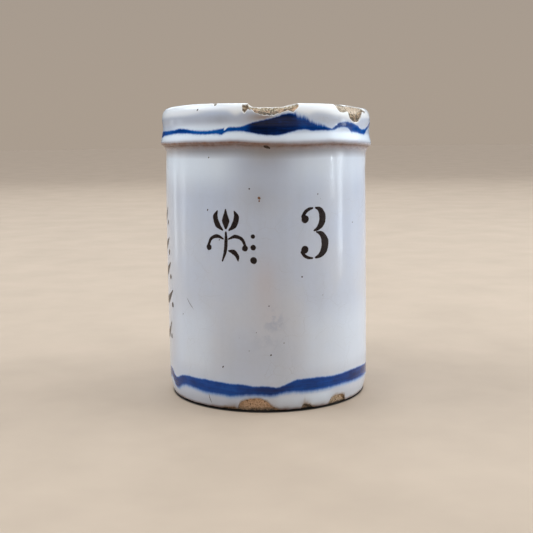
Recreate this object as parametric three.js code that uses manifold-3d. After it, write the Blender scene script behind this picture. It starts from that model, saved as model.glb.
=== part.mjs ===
// Faience pitcher: a straight-sided, tin-glazed earthenware vessel with a thickened collar at the mouth and a
// pulled strap handle at the back. Millimetres, +Z up. The origin is the centre of the underside, -Y is the front
// (the numbered face) and +Y is the handle side.
//
// The clay is built up as a potter builds it: a base disc, a wall raised on it, a collar coil set on the wall, and a
// strap handle luted on with two wads of clay. The white skin is real glass of its own thickness: one coat poured
// inside, one dipped outside, and the part of the dipped coat that wraps the handle.
import * as THREE from "three";
import { mergeVertices } from "three/addons/utils/BufferGeometryUtils.js";
import Module from "manifold-3d";

// ---- driving dimensions -------------------------------------------------------------------------------------
const BODY_R = 48.0; // outside radius of the glazed wall
const GLAZE_T = 0.5; // thickness of the fired tin glaze
const WALL_T = 6.0; // wall with both coats
const FOOT_R = 45.0; // radius of the circle the pitcher stands on
const FOOT_H = 8.0; // height of the rounded foot edge, and of the base disc at the wall
const FLOOR_Z = 8.2; // top of the floor's glaze
const COLLAR_Z = 119.0; // underside of the collar
const COLLAR_R = 49.7; // collar's lower bead
const RIM_Z = 136.8; // top of the lip
const LIP_R = 45.9; // radius of the lip's highest line
const BOND = 0.05; // slip line between pieces that were fired together
const SEGMENTS = 48; // facets round the pot

const STRAP_W = 22.0; // handle strap, across
const STRAP_T = 8.4; // handle strap, thick
const HANDLE_REACH = 83.0; // outermost point of the handle from the pot's axis
const UPPER_Z = 104.5; // where the handle leaves the wall
const LOWER_Z = 34.5; // where it comes back

const CLAY_R = BODY_R - GLAZE_T; // outside of the clay wall
const BORE_R = BODY_R - WALL_T; // inside of the glazed wall
const CLAY_BORE_R = BORE_R + GLAZE_T; // inside of the clay wall

// ---- helpers --------------------------------------------------------------------------------------------------
const wasm = await Module();
wasm.setup();

// A profile of [radius, height] pairs turned about Z.
function turned(profile) {
  const points = profile.map(([r, z]) => new THREE.Vector2(r, z));
  return new THREE.LatheGeometry(points, SEGMENTS).rotateX(Math.PI / 2);
}

// A profile that closes on itself, for a ring.
const ring = (profile) => turned([...profile, profile[0]]);

function solid(geometry) {
  const g = geometry.clone();
  for (const name of Object.keys(g.attributes))
    if (name !== "position") g.deleteAttribute(name);
  const m = mergeVertices(g, 1e-4);
  return new wasm.Manifold(
    new wasm.Mesh({
      numProp: 3,
      vertProperties: new Float32Array(m.attributes.position.array),
      triVerts: new Uint32Array(m.index.array),
    }),
  );
}

function geometryOf(made) {
  const m = made.getMesh();
  const v = new Float32Array(m.numVert * 3);
  for (let i = 0; i < m.numVert; i++)
    v.set(m.vertProperties.subarray(i * m.numProp, i * m.numProp + 3), i * 3);
  const g = new THREE.BufferGeometry();
  g.setAttribute("position", new THREE.BufferAttribute(v, 3));
  g.setIndex(new THREE.BufferAttribute(new Uint32Array(m.triVerts), 1));
  g.computeVertexNormals();
  return g;
}

// ---- materials --------------------------------------------------------------------------------------------------
const clay = new THREE.MeshStandardMaterial({
  color: 0xc2a27c,
  roughness: 0.9,
  metalness: 0,
});
const lutingClay = new THREE.MeshStandardMaterial({
  color: 0xb8966f,
  roughness: 0.92,
  metalness: 0,
});
const glaze = new THREE.MeshStandardMaterial({
  color: 0xdadde4,
  roughness: 0.14,
  metalness: 0,
});

const group = new THREE.Group();
function add(name, geometry, material) {
  const mesh = new THREE.Mesh(geometry, material);
  mesh.name = name;
  group.add(mesh);
}

// ---- clay: base, wall, collar -------------------------------------------------------------------------------------
// Base disc with the rounded foot edge. Its underside is flat and bare.
add(
  "base_disc",
  turned([
    [0, 0],
    [FOOT_R - 0.6, 0],
    [FOOT_R + 0.7, 0.8],
    [FOOT_R + 1.7, 2.6],
    [FOOT_R + 2.3, 5.2],
    [CLAY_R, FOOT_H],
    [CLAY_BORE_R, FOOT_H],
    [CLAY_BORE_R - 4, FLOOR_Z - GLAZE_T],
    [0, FLOOR_Z - GLAZE_T],
  ]),
  clay,
);

// Wall raised on the base disc, thicker where it turns into the floor.
const wallFoot = FOOT_H + BOND;
add(
  "body_wall",
  ring([
    [CLAY_BORE_R - 3.4, wallFoot],
    [CLAY_R, wallFoot],
    [CLAY_R, COLLAR_Z - BOND],
    [CLAY_BORE_R, COLLAR_Z - BOND],
    [CLAY_BORE_R, FOOT_H + 7.5],
    [CLAY_BORE_R - 1.2, FOOT_H + 3.2],
  ]),
  clay,
);

// Collar coil: a bead at its lower edge, a shallow waist, then a rounded lip.
const collarClay = [
  [CLAY_R - 0.2, COLLAR_Z],
  [COLLAR_R - 1.2, COLLAR_Z + 0.55],
  [COLLAR_R - 0.6, COLLAR_Z + 1.8],
  [COLLAR_R - 0.55, COLLAR_Z + 3.0],
  [COLLAR_R - 1.1, COLLAR_Z + 6.2],
  [COLLAR_R - 0.85, COLLAR_Z + 11.0],
  [COLLAR_R - 1.2, COLLAR_Z + 14.3],
  [LIP_R + 1.9, RIM_Z - 1.5],
  [LIP_R, RIM_Z - 0.5],
  [LIP_R - 1.8, RIM_Z - 1.4],
  [CLAY_BORE_R + 0.4, RIM_Z - 3.4],
  [CLAY_BORE_R, RIM_Z - 7],
  [CLAY_BORE_R, COLLAR_Z],
];
add("rim_collar", ring(collarClay), clay);

// ---- handle: one pulled strap and the two wads that lute it to the wall ------------------------------------------
const handlePath = new THREE.CatmullRomCurve3(
  [
    [CLAY_R - 4, UPPER_Z - 2.5],
    [BODY_R + 3, UPPER_Z + 1.5],
    [BODY_R + 14, UPPER_Z + 2.5],
    [HANDLE_REACH - 11, UPPER_Z - 4],
    [HANDLE_REACH - STRAP_T / 2, UPPER_Z - 19],
    [HANDLE_REACH - STRAP_T / 2 - 1.6, UPPER_Z - 37],
    [HANDLE_REACH - 13, UPPER_Z - 54],
    [BODY_R + 11, LOWER_Z + 5],
    [BODY_R + 3, LOWER_Z],
    [CLAY_R - 4, LOWER_Z - 4],
  ].map(([y, z]) => new THREE.Vector3(0, y, z)),
  false,
  "centripetal",
);

// The strap's section is a flat oval: straight across the middle, round at the edges. The path's normal lies across
// the strap on one of the two frame axes, so the oval is drawn for the axis that turns out to be X.
const frames = handlePath.computeFrenetFrames(8, false);
const wideOnFirst = Math.abs(frames.normals[0].x) > 0.5;
function strap(grow) {
  const w = STRAP_W / 2 + grow,
    t = STRAP_T / 2 + grow,
    n = 14;
  const section = new THREE.Shape();
  for (let i = 0; i < n; i++) {
    const a = (2 * Math.PI * i) / n;
    const c = Math.cos(a),
      s = Math.sin(a);
    const x = w * Math.sign(c) * Math.abs(c) ** 0.75;
    const y = t * Math.sign(s) * Math.abs(s) ** 0.75;
    const [u, v] = wideOnFirst ? [x, y] : [y, x];
    if (i === 0) section.moveTo(u, v);
    else section.lineTo(u, v);
  }
  section.closePath();
  return solid(
    new THREE.ExtrudeGeometry(section, {
      steps: 26,
      bevelEnabled: false,
      extrudePath: handlePath,
    }),
  );
}

// A wad of clay pressed round each end of the strap.
function wad(z, rx, ry, rz, grow) {
  const g = new THREE.SphereGeometry(1, 18, 12).rotateX(Math.PI / 2);
  g.scale(rx + grow, ry + grow, rz + grow);
  g.translate(0, BODY_R - 0.5, z);
  return solid(g);
}
const upperWad = (grow) => wad(UPPER_Z, 14.5, 5.2, 9.5, grow);
const lowerWad = (grow) => wad(LOWER_Z - 1.5, 15, 4.6, 12.5, grow);

// Everything inside this radius belongs to the pot.
const column = (r) =>
  solid(
    turned([
      [0, -10],
      [r, -10],
      [r, RIM_Z + 20],
      [0, RIM_Z + 20],
    ]),
  );

const clayColumn = column(CLAY_R + BOND);
const strapSolid = strap(0).subtract(clayColumn);
const upperSolid = upperWad(0).subtract(clayColumn).subtract(strap(BOND));
const lowerSolid = lowerWad(0).subtract(clayColumn).subtract(strap(BOND));
add("handle_strap", geometryOf(strapSolid), clay);
add("handle_upper_luting", geometryOf(upperSolid), lutingClay);
add("handle_lower_luting", geometryOf(lowerSolid), lutingClay);

// ---- glaze -----------------------------------------------------------------------------------------------------------
// Poured coat: inner wall and floor.
add(
  "inner_glaze",
  turned([
    [0, FLOOR_Z - GLAZE_T + BOND],
    [CLAY_BORE_R - 4.4, FLOOR_Z - GLAZE_T + BOND],
    [CLAY_BORE_R - 3.5, FOOT_H + 0.4],
    [CLAY_BORE_R - 1.2 - BOND, FOOT_H + 3.2],
    [CLAY_BORE_R - BOND, FOOT_H + 7.6],
    [CLAY_BORE_R - BOND, RIM_Z - 7],
    [BORE_R, RIM_Z - 7],
    [BORE_R, FOOT_H + 8],
    [BORE_R - 1.2, FOOT_H + 3.7],
    [BORE_R - 3.6, FOOT_H + 0.9],
    [BORE_R - 7, FLOOR_Z],
    [0, FLOOR_Z],
  ]),
  glaze,
);

// Dipped coat: over the lip, down the collar and the wall to just above the bare foot. It is left open where the
// handle's clay meets the wall.
const g = BOND;
const dipped = [
  // outside, upwards
  [FOOT_R + 0.9, 0.9],
  [FOOT_R + 2.0, 2.4],
  [FOOT_R + 2.7, 4.8],
  [BODY_R, FOOT_H],
  [BODY_R, COLLAR_Z - 0.8],
  [BODY_R + 0.25, COLLAR_Z - 0.15],
  [COLLAR_R - 0.6, COLLAR_Z + 0.25],
  [COLLAR_R - 0.08, COLLAR_Z + 1.6],
  [COLLAR_R, COLLAR_Z + 3.0],
  [COLLAR_R - 0.6, COLLAR_Z + 6.2],
  [COLLAR_R - 0.3, COLLAR_Z + 11.0],
  [COLLAR_R - 0.6, COLLAR_Z + 14.6],
  [LIP_R + 2.2, RIM_Z - 1.05],
  [LIP_R, RIM_Z],
  [LIP_R - 2.1, RIM_Z - 1.0],
  [CLAY_BORE_R - 0.1, RIM_Z - 3.2],
  [BORE_R, RIM_Z - 7 + g],
  // back along the clay
  [CLAY_BORE_R - g, RIM_Z - 7 + g],
  [CLAY_BORE_R + 0.4 - g, RIM_Z - 3.35],
  [LIP_R - 1.83, RIM_Z - 1.4 + g],
  [LIP_R, RIM_Z - 0.5 + g],
  [LIP_R + 1.93, RIM_Z - 1.5 + g],
  [COLLAR_R - 1.2 + g, COLLAR_Z + 14.35],
  [COLLAR_R - 0.85 + g, COLLAR_Z + 11.0],
  [COLLAR_R - 1.1 + g, COLLAR_Z + 6.2],
  [COLLAR_R - 0.55 + g, COLLAR_Z + 3.0],
  [COLLAR_R - 0.6 + g, COLLAR_Z + 1.75],
  [COLLAR_R - 1.2 + g, COLLAR_Z + 0.5],
  [CLAY_R + g, COLLAR_Z - 0.12],
  [CLAY_R + g, FOOT_H],
  [FOOT_R + 2.3 + g, 5.2],
  [FOOT_R + 1.7 + g, 2.55],
  [FOOT_R + 0.78, 0.85],
];
const handleClay = (grow) =>
  strap(grow).add(upperWad(grow)).add(lowerWad(grow));
add(
  "outer_glaze",
  geometryOf(solid(ring(dipped)).subtract(handleClay(2 * BOND))),
  glaze,
);

// The dipped coat on the handle and its wads.
add(
  "handle_glaze",
  geometryOf(
    handleClay(GLAZE_T)
      .subtract(handleClay(2 * BOND))
      .subtract(column(BODY_R + BOND)),
  ),
  glaze,
);

export default group;
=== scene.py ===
"""Looks of a straight-sided tin-glazed pitcher: chipped white glaze over buff clay, brush-drawn cobalt bands and brown-black stencilled marks."""
import math

import bpy
import numpy as np
from mathutils import Matrix, Vector


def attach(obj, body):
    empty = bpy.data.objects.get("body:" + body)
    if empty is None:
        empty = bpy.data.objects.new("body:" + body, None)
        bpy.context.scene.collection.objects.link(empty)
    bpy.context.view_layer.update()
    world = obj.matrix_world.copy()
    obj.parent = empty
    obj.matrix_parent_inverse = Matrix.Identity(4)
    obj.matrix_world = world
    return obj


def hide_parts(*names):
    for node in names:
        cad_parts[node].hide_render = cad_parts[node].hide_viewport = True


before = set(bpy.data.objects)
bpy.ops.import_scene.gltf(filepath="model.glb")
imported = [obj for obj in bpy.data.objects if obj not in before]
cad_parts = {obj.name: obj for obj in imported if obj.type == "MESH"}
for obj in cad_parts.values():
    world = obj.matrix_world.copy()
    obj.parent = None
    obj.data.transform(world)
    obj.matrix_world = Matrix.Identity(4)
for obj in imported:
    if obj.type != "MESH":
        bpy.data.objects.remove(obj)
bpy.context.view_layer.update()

MM = 0.001
PI = math.pi
GLAZE = 0.45  # coat thickness, mm
BODY_R = 48.0

# ------------------------------------------------------------------ numbers


def smooth(a, b, x):
    t = np.clip((np.asarray(x, float) - a) / (b - a), 0.0, 1.0)
    return t * t * (3 - 2 * t)


def _hash(ix, iy, iz, seed):
    h = (ix * 374761393 + iy * 668265263 + iz * 2147483647 + seed * 974634777) & 0xFFFFFFFF
    h = ((h ^ (h >> 13)) * 1274126177) & 0xFFFFFFFF
    h = ((h ^ (h >> 16)) * 2246822519) & 0xFFFFFFFF
    return ((h ^ (h >> 15)) & 0xFFFFFF) / float(0xFFFFFF) * 2.0 - 1.0


def noise(x, y, z, seed=0):
    """Smooth value noise in -1..1."""
    x, y, z = np.broadcast_arrays(np.asarray(x, float), np.asarray(y, float), np.asarray(z, float))
    fx, fy, fz = np.floor(x), np.floor(y), np.floor(z)
    ix, iy, iz = fx.astype(np.int64), fy.astype(np.int64), fz.astype(np.int64)
    tx, ty, tz = x - fx, y - fy, z - fz
    tx, ty, tz = (t * t * t * (t * (t * 6 - 15) + 10) for t in (tx, ty, tz))
    out = np.zeros(x.shape)
    for dx in (0, 1):
        wx = tx if dx else 1 - tx
        for dy in (0, 1):
            wy = ty if dy else 1 - ty
            for dz in (0, 1):
                wz = tz if dz else 1 - tz
                out = out + wx * wy * wz * _hash(ix + dx, iy + dy, iz + dz, seed)
    return out


def fbm(x, y, z, octaves=3, seed=0):
    out, amp, tot = 0.0, 1.0, 0.0
    for k in range(octaves):
        out = out + amp * noise(np.asarray(x) * 2**k, np.asarray(y) * 2**k, np.asarray(z) * 2**k, seed + 17 * k)
        tot += amp
        amp *= 0.5
    return out / tot


def catmull(points, per=10):
    """Smooth curve through points, centripetal."""
    p = np.asarray(points, float)
    p = np.vstack([2 * p[0] - p[1], p, 2 * p[-1] - p[-2]])
    out = []
    for i in range(1, len(p) - 2):
        p0, p1, p2, p3 = p[i - 1], p[i], p[i + 1], p[i + 2]
        t0 = 0.0
        t1 = t0 + np.linalg.norm(p1 - p0) ** 0.5
        t2 = t1 + np.linalg.norm(p2 - p1) ** 0.5
        t3 = t2 + np.linalg.norm(p3 - p2) ** 0.5
        for t in np.linspace(t1, t2, per, endpoint=False):
            a1 = (t1 - t) / (t1 - t0) * p0 + (t - t0) / (t1 - t0) * p1
            a2 = (t2 - t) / (t2 - t1) * p1 + (t - t1) / (t2 - t1) * p2
            a3 = (t3 - t) / (t3 - t2) * p2 + (t - t2) / (t3 - t2) * p3
            b1 = (t2 - t) / (t2 - t0) * a1 + (t - t0) / (t2 - t0) * a2
            b2 = (t3 - t) / (t3 - t1) * a2 + (t - t1) / (t3 - t1) * a3
            out.append((t2 - t) / (t2 - t1) * b1 + (t - t1) / (t2 - t1) * b2)
    out.append(p[-2])
    return np.array(out)


class Profile:
    """A turned profile (r, z) with its own length coordinate and outward normal."""

    def __init__(self, points, per=12):
        self.p = catmull(points, per)
        d = np.diff(self.p, axis=0)
        self.s = np.r_[0, np.cumsum(np.hypot(d[:, 0], d[:, 1]))]
        t = np.gradient(self.p, self.s, axis=0)
        t /= np.linalg.norm(t, axis=1)[:, None]
        self.n = np.stack([t[:, 1], -t[:, 0]], 1)

    def at(self, s):
        r, z = (np.interp(s, self.s, self.p[:, k]) for k in (0, 1))
        nr, nz = (np.interp(s, self.s, self.n[:, k]) for k in (0, 1))
        return r, z, nr, nz


# the outside of the pot from the foot, up over the lip and a little way inside
OUTER = Profile(
    [
        (46.1, 0.40), (46.44, 0.85), (46.97, 2.5), (47.55, 4.8), (47.93, 7.9), (48.0, 12.0), (48.0, 30.0),
        (47.93, 50.0), (47.8, 70.0), (47.62, 90.0), (47.46, 104.0), (47.4, 112.0), (47.38, 116.4), (47.42, 117.7),
        (47.66, 118.4), (48.2, 118.8), (48.95, 119.05), (49.5, 119.4), (49.78, 120.05), (49.76, 120.9), (49.55, 122.1),
        (49.22, 123.6), (48.93, 125.3), (48.82, 127.2), (48.95, 129.0), (49.12, 130.8), (49.07, 132.4), (48.78, 134.0),
        (48.12, 135.35), (47.15, 136.35), (46.0, 136.72), (44.9, 136.5), (43.9, 135.8), (43.2, 134.7), (42.8, 133.2),
        (42.45, 131.4), (42.2, 129.9),
    ]
)
_crest = int(np.argmax(OUTER.p[:, 1]))
S_CREST = OUTER.s[_crest]
S_END = OUTER.s[-1]


def s_of_z(z):
    """Length coordinate of a height on the outside of the pot."""
    return np.interp(z, OUTER.p[: _crest + 1, 1], OUTER.s[: _crest + 1])


def s_inside(z):
    """Length coordinate of a height on the inner slope of the lip."""
    return np.interp(-np.asarray(z, float), -OUTER.p[_crest:, 1], OUTER.s[_crest:])


def wobble(th, z):
    """How far the hand-thrown wall stands in or out of true, mm."""
    x, y = BODY_R * np.sin(th), -BODY_R * np.cos(th)
    d = 0.13 * np.sin(2 * th + 0.7) + 0.09 * np.sin(3 * th - 1.1)
    d = d + 0.15 * noise(x / 30, y / 30, z / 45, 3)
    d = d + 0.035 * np.sin(2 * PI * (z / 8.5 + th / (2 * PI))) * smooth(10, 24, z) * (1 - smooth(104, 117, z))
    d = d + 0.045 * noise(x / 9, y / 9, z / 16, 8) + 0.02 * noise(x / 4, y / 4, z / 7, 9)
    return d


def round_curve(rows, blur=4.0):
    """Smooth closed curve of a value by angle, from (degrees, value) rows."""
    rows = sorted(rows)
    a = np.array([r[0] for r in rows], float)
    v = np.array([r[1] for r in rows], float)
    deg = np.arange(-180, 180, 1.0)
    d = np.interp(deg, np.r_[a - 360, a, a + 360], np.r_[v, v, v])
    k = np.exp(-((np.arange(-20, 21) / blur) ** 2))
    d = np.convolve(np.r_[d[-20:], d, d[:20]], k / k.sum(), "valid")
    deg, d = np.r_[deg, 180.0], np.r_[d, d[0]]
    return lambda th: np.interp(np.degrees(wrap(th)), deg, d)


def wrap(th):
    return (np.asarray(th, float) + PI) % (2 * PI) - PI


# how far the bead and the lip hang out of level, mm
BEAD_SAG = round_curve([(-90, -0.9), (-84, -0.85), (-74, -0.65), (-62, -0.45), (-54, -0.3), (-46, 0.1), (-36, 0.2), (-26, 0.25), (-19, 0.55), (-14, 0.5), (-9, 0.1), (-4, -0.3), (4, -0.4), (10, -0.45), (15, -0.5), (22, -0.25), (28, -0.25), (33, 0.0), (39, -0.15), (48, -0.7), (57, -1.05), (64, -1.5), (72, -1.9), (80, -2.4), (90, -2.6), (120, -1.8), (150, -1.0), (180, -0.6), (-150, -0.5), (-120, -0.8)], 3.0)
LIP_SAG = round_curve([(-90, -1.25), (-76, -0.95), (-62, -0.5), (-46, 0.1), (-32, 0.28), (-16, 0.22), (0, 0.0), (15, -0.1), (30, -0.3), (40, -0.55), (50, -1.1), (60, -1.75), (70, -2.25), (80, -2.4), (92, -2.35), (135, -1.3), (180, -0.7), (-135, -0.9)], 6.0)


def sag(th, z):
    """Up and down waviness of the collar and the lip, mm."""
    over = smooth(124, 134, z)
    return smooth(106, 118.4, z) * (BEAD_SAG(th) * (1 - over) + LIP_SAG(th) * over)


def sag_inside(th, z):
    return smooth(96, 129.5, z) * LIP_SAG(th)


def lean(z):
    """The collar sits a little to one side, mm along x."""
    return 0.42 * smooth(102, 120, z) + 0.14 * smooth(124, 131, z)


def pot_surface(th, s, off):
    """Points of the pot's outside, off mm above (or below) the glaze's face."""
    r, z, nr, nz = OUTER.at(s)
    w = wobble(th, z)
    r = r + off * nr + w * np.clip(nr, 0, 1)
    x = r * np.sin(th) + lean(z)
    z = z + off * nz + sag(th, z)
    return np.stack([x, -r * np.cos(th), z], -1)


def wall_radius(th, z):
    """Radius of the glazed wall at a height below the collar."""
    s = np.interp(z, OUTER.p[: _crest + 1, 1], OUTER.s[: _crest + 1])
    return np.interp(s, OUTER.s, OUTER.p[:, 0]) + wobble(th, z)


# ------------------------------------------------------------------ meshes


def new_object(name, verts, faces, mats, mat_ids=None, sharp=40):
    me = bpy.data.meshes.new(name)
    me.from_pydata([tuple(v) for v in np.asarray(verts) * MM], [], [tuple(int(i) for i in f) for f in faces])
    me.validate(clean_customdata=False)
    me.update()
    ob = bpy.data.objects.new(name, me)
    bpy.context.scene.collection.objects.link(ob)
    for m in mats:
        me.materials.append(m)
    if mat_ids is not None:
        me.polygons.foreach_set("material_index", np.asarray(mat_ids, np.int32))
    me.polygons.foreach_set("use_smooth", np.ones(len(me.polygons), bool))
    if sharp:
        me.set_sharp_from_angle(angle=math.radians(sharp))
    return ob


def attribute(ob, name, values):
    a = ob.data.attributes.new(name, "FLOAT", "POINT")
    a.data.foreach_set("value", np.asarray(values, np.float32))


def thetas(front_step, back_step):
    """Angles round the pot, finer over the front 150 degrees."""
    half = math.radians(75)
    nf = int(2 * half * BODY_R / front_step)
    nb = int((2 * PI - 2 * half) * BODY_R / back_step)
    f = np.linspace(-half, half, nf, endpoint=False)
    b = np.linspace(half, 2 * PI - half, nb, endpoint=False)
    return np.r_[f, b]


def stations(prof_s, step):
    """Rows along a profile, step(s) apart."""
    out, s = [prof_s[0]], prof_s[0]
    while s < prof_s[1]:
        s += step(s)
        out.append(min(s, prof_s[1]))
    if out[-1] - out[-2] < 0.3 * step(out[-2]):
        out.pop(-2)
    return np.array(out)


def cut_grid(th, ss, keep):
    """A wrapped grid over angles th and rows ss, cut along keep(th, s) = 0. Returns (angle, s) of each point and the faces that are kept."""
    nt, ns = len(th), len(ss)
    T, S = np.meshgrid(th, ss)
    f = keep(T, S).ravel()
    uv = np.stack([T.ravel(), S.ravel()], 1)
    uv_list = [tuple(p) for p in uv]
    idx = np.arange(ns * nt).reshape(ns, nt)
    a = idx[:-1, :]
    b = np.roll(idx, -1, 1)[:-1, :]
    c = np.roll(idx, -1, 1)[1:, :]
    d = idx[1:, :]
    quads = np.stack([a, b, c, d], -1).reshape(-1, 4)
    pos = f > 0
    inside = pos[quads].sum(1)
    faces = [tuple(q) for q in quads[inside == 4]]
    made = {}

    def between(i, j):
        key = (min(i, j), max(i, j))
        if key not in made:
            (ti, si), (tj, sj) = uv_list[i], uv_list[j]
            if tj - ti > PI:
                tj -= 2 * PI
            elif ti - tj > PI:
                ti -= 2 * PI
            t = min(max(f[i] / (f[i] - f[j]), 0.02), 0.98)
            made[key] = len(uv_list)
            uv_list.append((ti + (tj - ti) * t, si + (sj - si) * t))
        return made[key]

    for q in quads[(inside > 0) & (inside < 4)]:
        poly = []
        for k in range(4):
            i, j = int(q[k]), int(q[(k + 1) % 4])
            if pos[i]:
                poly.append(i)
            if pos[i] != pos[j]:
                poly.append(between(i, j))
        if inside_split(q, pos):
            # two opposite corners kept: two separate corner pieces
            for k in range(4):
                i = int(q[k])
                if pos[i]:
                    faces.append((i, between(i, int(q[(k + 1) % 4])), between(int(q[k - 1]), i)))
        elif len(poly) >= 3:
            faces.append(tuple(poly))
    used = sorted({i for fc in faces for i in fc})
    back = {i: k for k, i in enumerate(used)}
    return np.array([uv_list[i] for i in used]), [tuple(back[i] for i in fc) for fc in faces]


def inside_split(q, pos):
    p = [bool(pos[i]) for i in q]
    return p == [True, False, True, False] or p == [False, True, False, True]


def open_edges(faces):
    seen = {}
    for fc in faces:
        for k in range(len(fc)):
            seen[(fc[k], fc[(k + 1) % len(fc)])] = True
    return [e for e in seen if (e[1], e[0]) not in seen]


def coat(name, uv, faces, outer_pts, inner_pts, mats, foot_s=-1.0):
    """A closed coat: the outer face, the face against the clay, and the broken edge between them."""
    n = len(uv)
    edges = open_edges(faces)
    allf = list(faces) + [tuple(n + i for i in reversed(fc)) for fc in faces]
    ids = [0] * (2 * len(faces))
    for a, b in edges:
        allf.append((b, a, n + a, n + b))
        ids.append(2 if uv[a, 1] < foot_s else 1)
    ob = new_object(name, np.vstack([outer_pts, inner_pts]), allf, mats, ids)
    # map round the pot: the outer face fills most of the sheet
    me = ob.data
    uvl = me.uv_layers.new(name="OFBake")
    th = np.r_[uv[:, 0], uv[:, 0]]
    s = np.r_[uv[:, 1], uv[:, 1]]
    smin, smax = s.min(), s.max()
    u = ((th + PI) % (2 * PI)) / (2 * PI)
    v = (s - smin) / (smax - smin)
    loops = np.zeros(len(me.loops), np.int32)
    me.loops.foreach_get("vertex_index", loops)
    start = np.zeros(len(me.polygons), np.int32)
    total = np.zeros(len(me.polygons), np.int32)
    me.polygons.foreach_get("loop_start", start)
    me.polygons.foreach_get("loop_total", total)
    lu, lv = u[loops].copy(), v[loops].copy()
    for p in range(len(start)):
        i, k = start[p], total[p]
        seg = lu[i : i + k]
        if seg.max() - seg.min() > 0.5:
            seg[seg < 0.5] += 1.0
        inner = loops[i] >= n and loops[i + k - 1] >= n and loops[i + k // 2] >= n
        edge = not inner and (loops[i : i + k] >= n).any()
        if inner:
            lv[i : i + k] = 0.945 + 0.03 * lv[i : i + k]
        elif edge:
            lv[i : i + k] = 0.982 + 0.014 * lv[i : i + k]
        else:
            lv[i : i + k] = 0.003 + 0.93 * lv[i : i + k]
    out = np.stack([0.001 + 0.998 * np.clip(lu, 0, 1), lv], 1).astype(np.float32)
    uvl.data.foreach_set("uv", out.ravel())
    return ob


# ------------------------------------------------------------------ chips


def band(th, table, far):
    """Value by angle in degrees, from a front table; far(th) rules round the back."""
    deg = np.degrees((np.asarray(th, float) + PI) % (2 * PI) - PI)
    t = np.asarray(table, float)
    front = np.interp(deg, t[:, 0], t[:, 1])
    w = smooth(0, 14, np.minimum(deg - t[0, 0], t[-1, 0] - deg) + 7.0)
    return w * front + (1 - w) * far(np.radians(deg))


class Chip:
    """A break in the glaze between a lower edge and an upper edge, each by angle in degrees."""

    def __init__(self, lower, upper, rag=0.25, depth=0.6, tone=0.5, grime=0.2, chord=0.0, seed=0, grit=1.0, low_grime=None, sink=0.0, cream=None, spots=None):
        self.lower, self.upper = np.asarray(lower, float), np.asarray(upper, float)
        self.rag, self.depth, self.tone, self.grime, self.chord, self.seed = rag, depth, tone, grime, chord, seed
        self.grit, self.low_grime, self.sink, self.cream, self.spots = grit, low_grime, sink, cream, spots

    def edges(self, th):
        deg = np.degrees(wrap(th))
        lo = np.interp(deg, self.lower[:, 0], self.lower[:, 1])
        hi = np.interp(deg, self.upper[:, 0], self.upper[:, 1])
        a = max(self.lower[0, 0], self.upper[0, 0])
        b = min(self.lower[-1, 0], self.upper[-1, 0])
        out = np.maximum(a - deg, deg - b) * math.radians(1) * BODY_R
        return lo, hi, out

    def outside(self, th, s):
        """Roughly how far a point lies outside the break, mm."""
        lo, hi, out = self.edges(th)
        f = np.maximum(np.maximum(lo - s, s - hi), out)
        x, y = BODY_R * np.sin(th), -BODY_R * np.cos(th)
        near = f < 4
        n = np.zeros(np.shape(f))
        if near.any():
            xs, ys, zs = (np.broadcast_to(q, f.shape)[near] for q in (x, y, s))
            n[near] = 0.7 * noise(xs / 1.6, ys / 1.6, zs / 1.6, 40 + self.seed) + 0.45 * noise(xs / 0.7, ys / 0.7, zs / 0.7, 60 + self.seed)
        return f + self.rag * n


def rim_table(rows):
    """(angle, height as it stands) rows on the outside to length coordinates."""
    return [(a, float(s_of_z(z - sag(math.radians(a), z)))) for a, z in rows]


def crest_table(rows):
    """(angle, distance past the crest of the lip) rows, minus is outside."""
    return [(a, float(S_CREST + d)) for a, d in rows]


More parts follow.
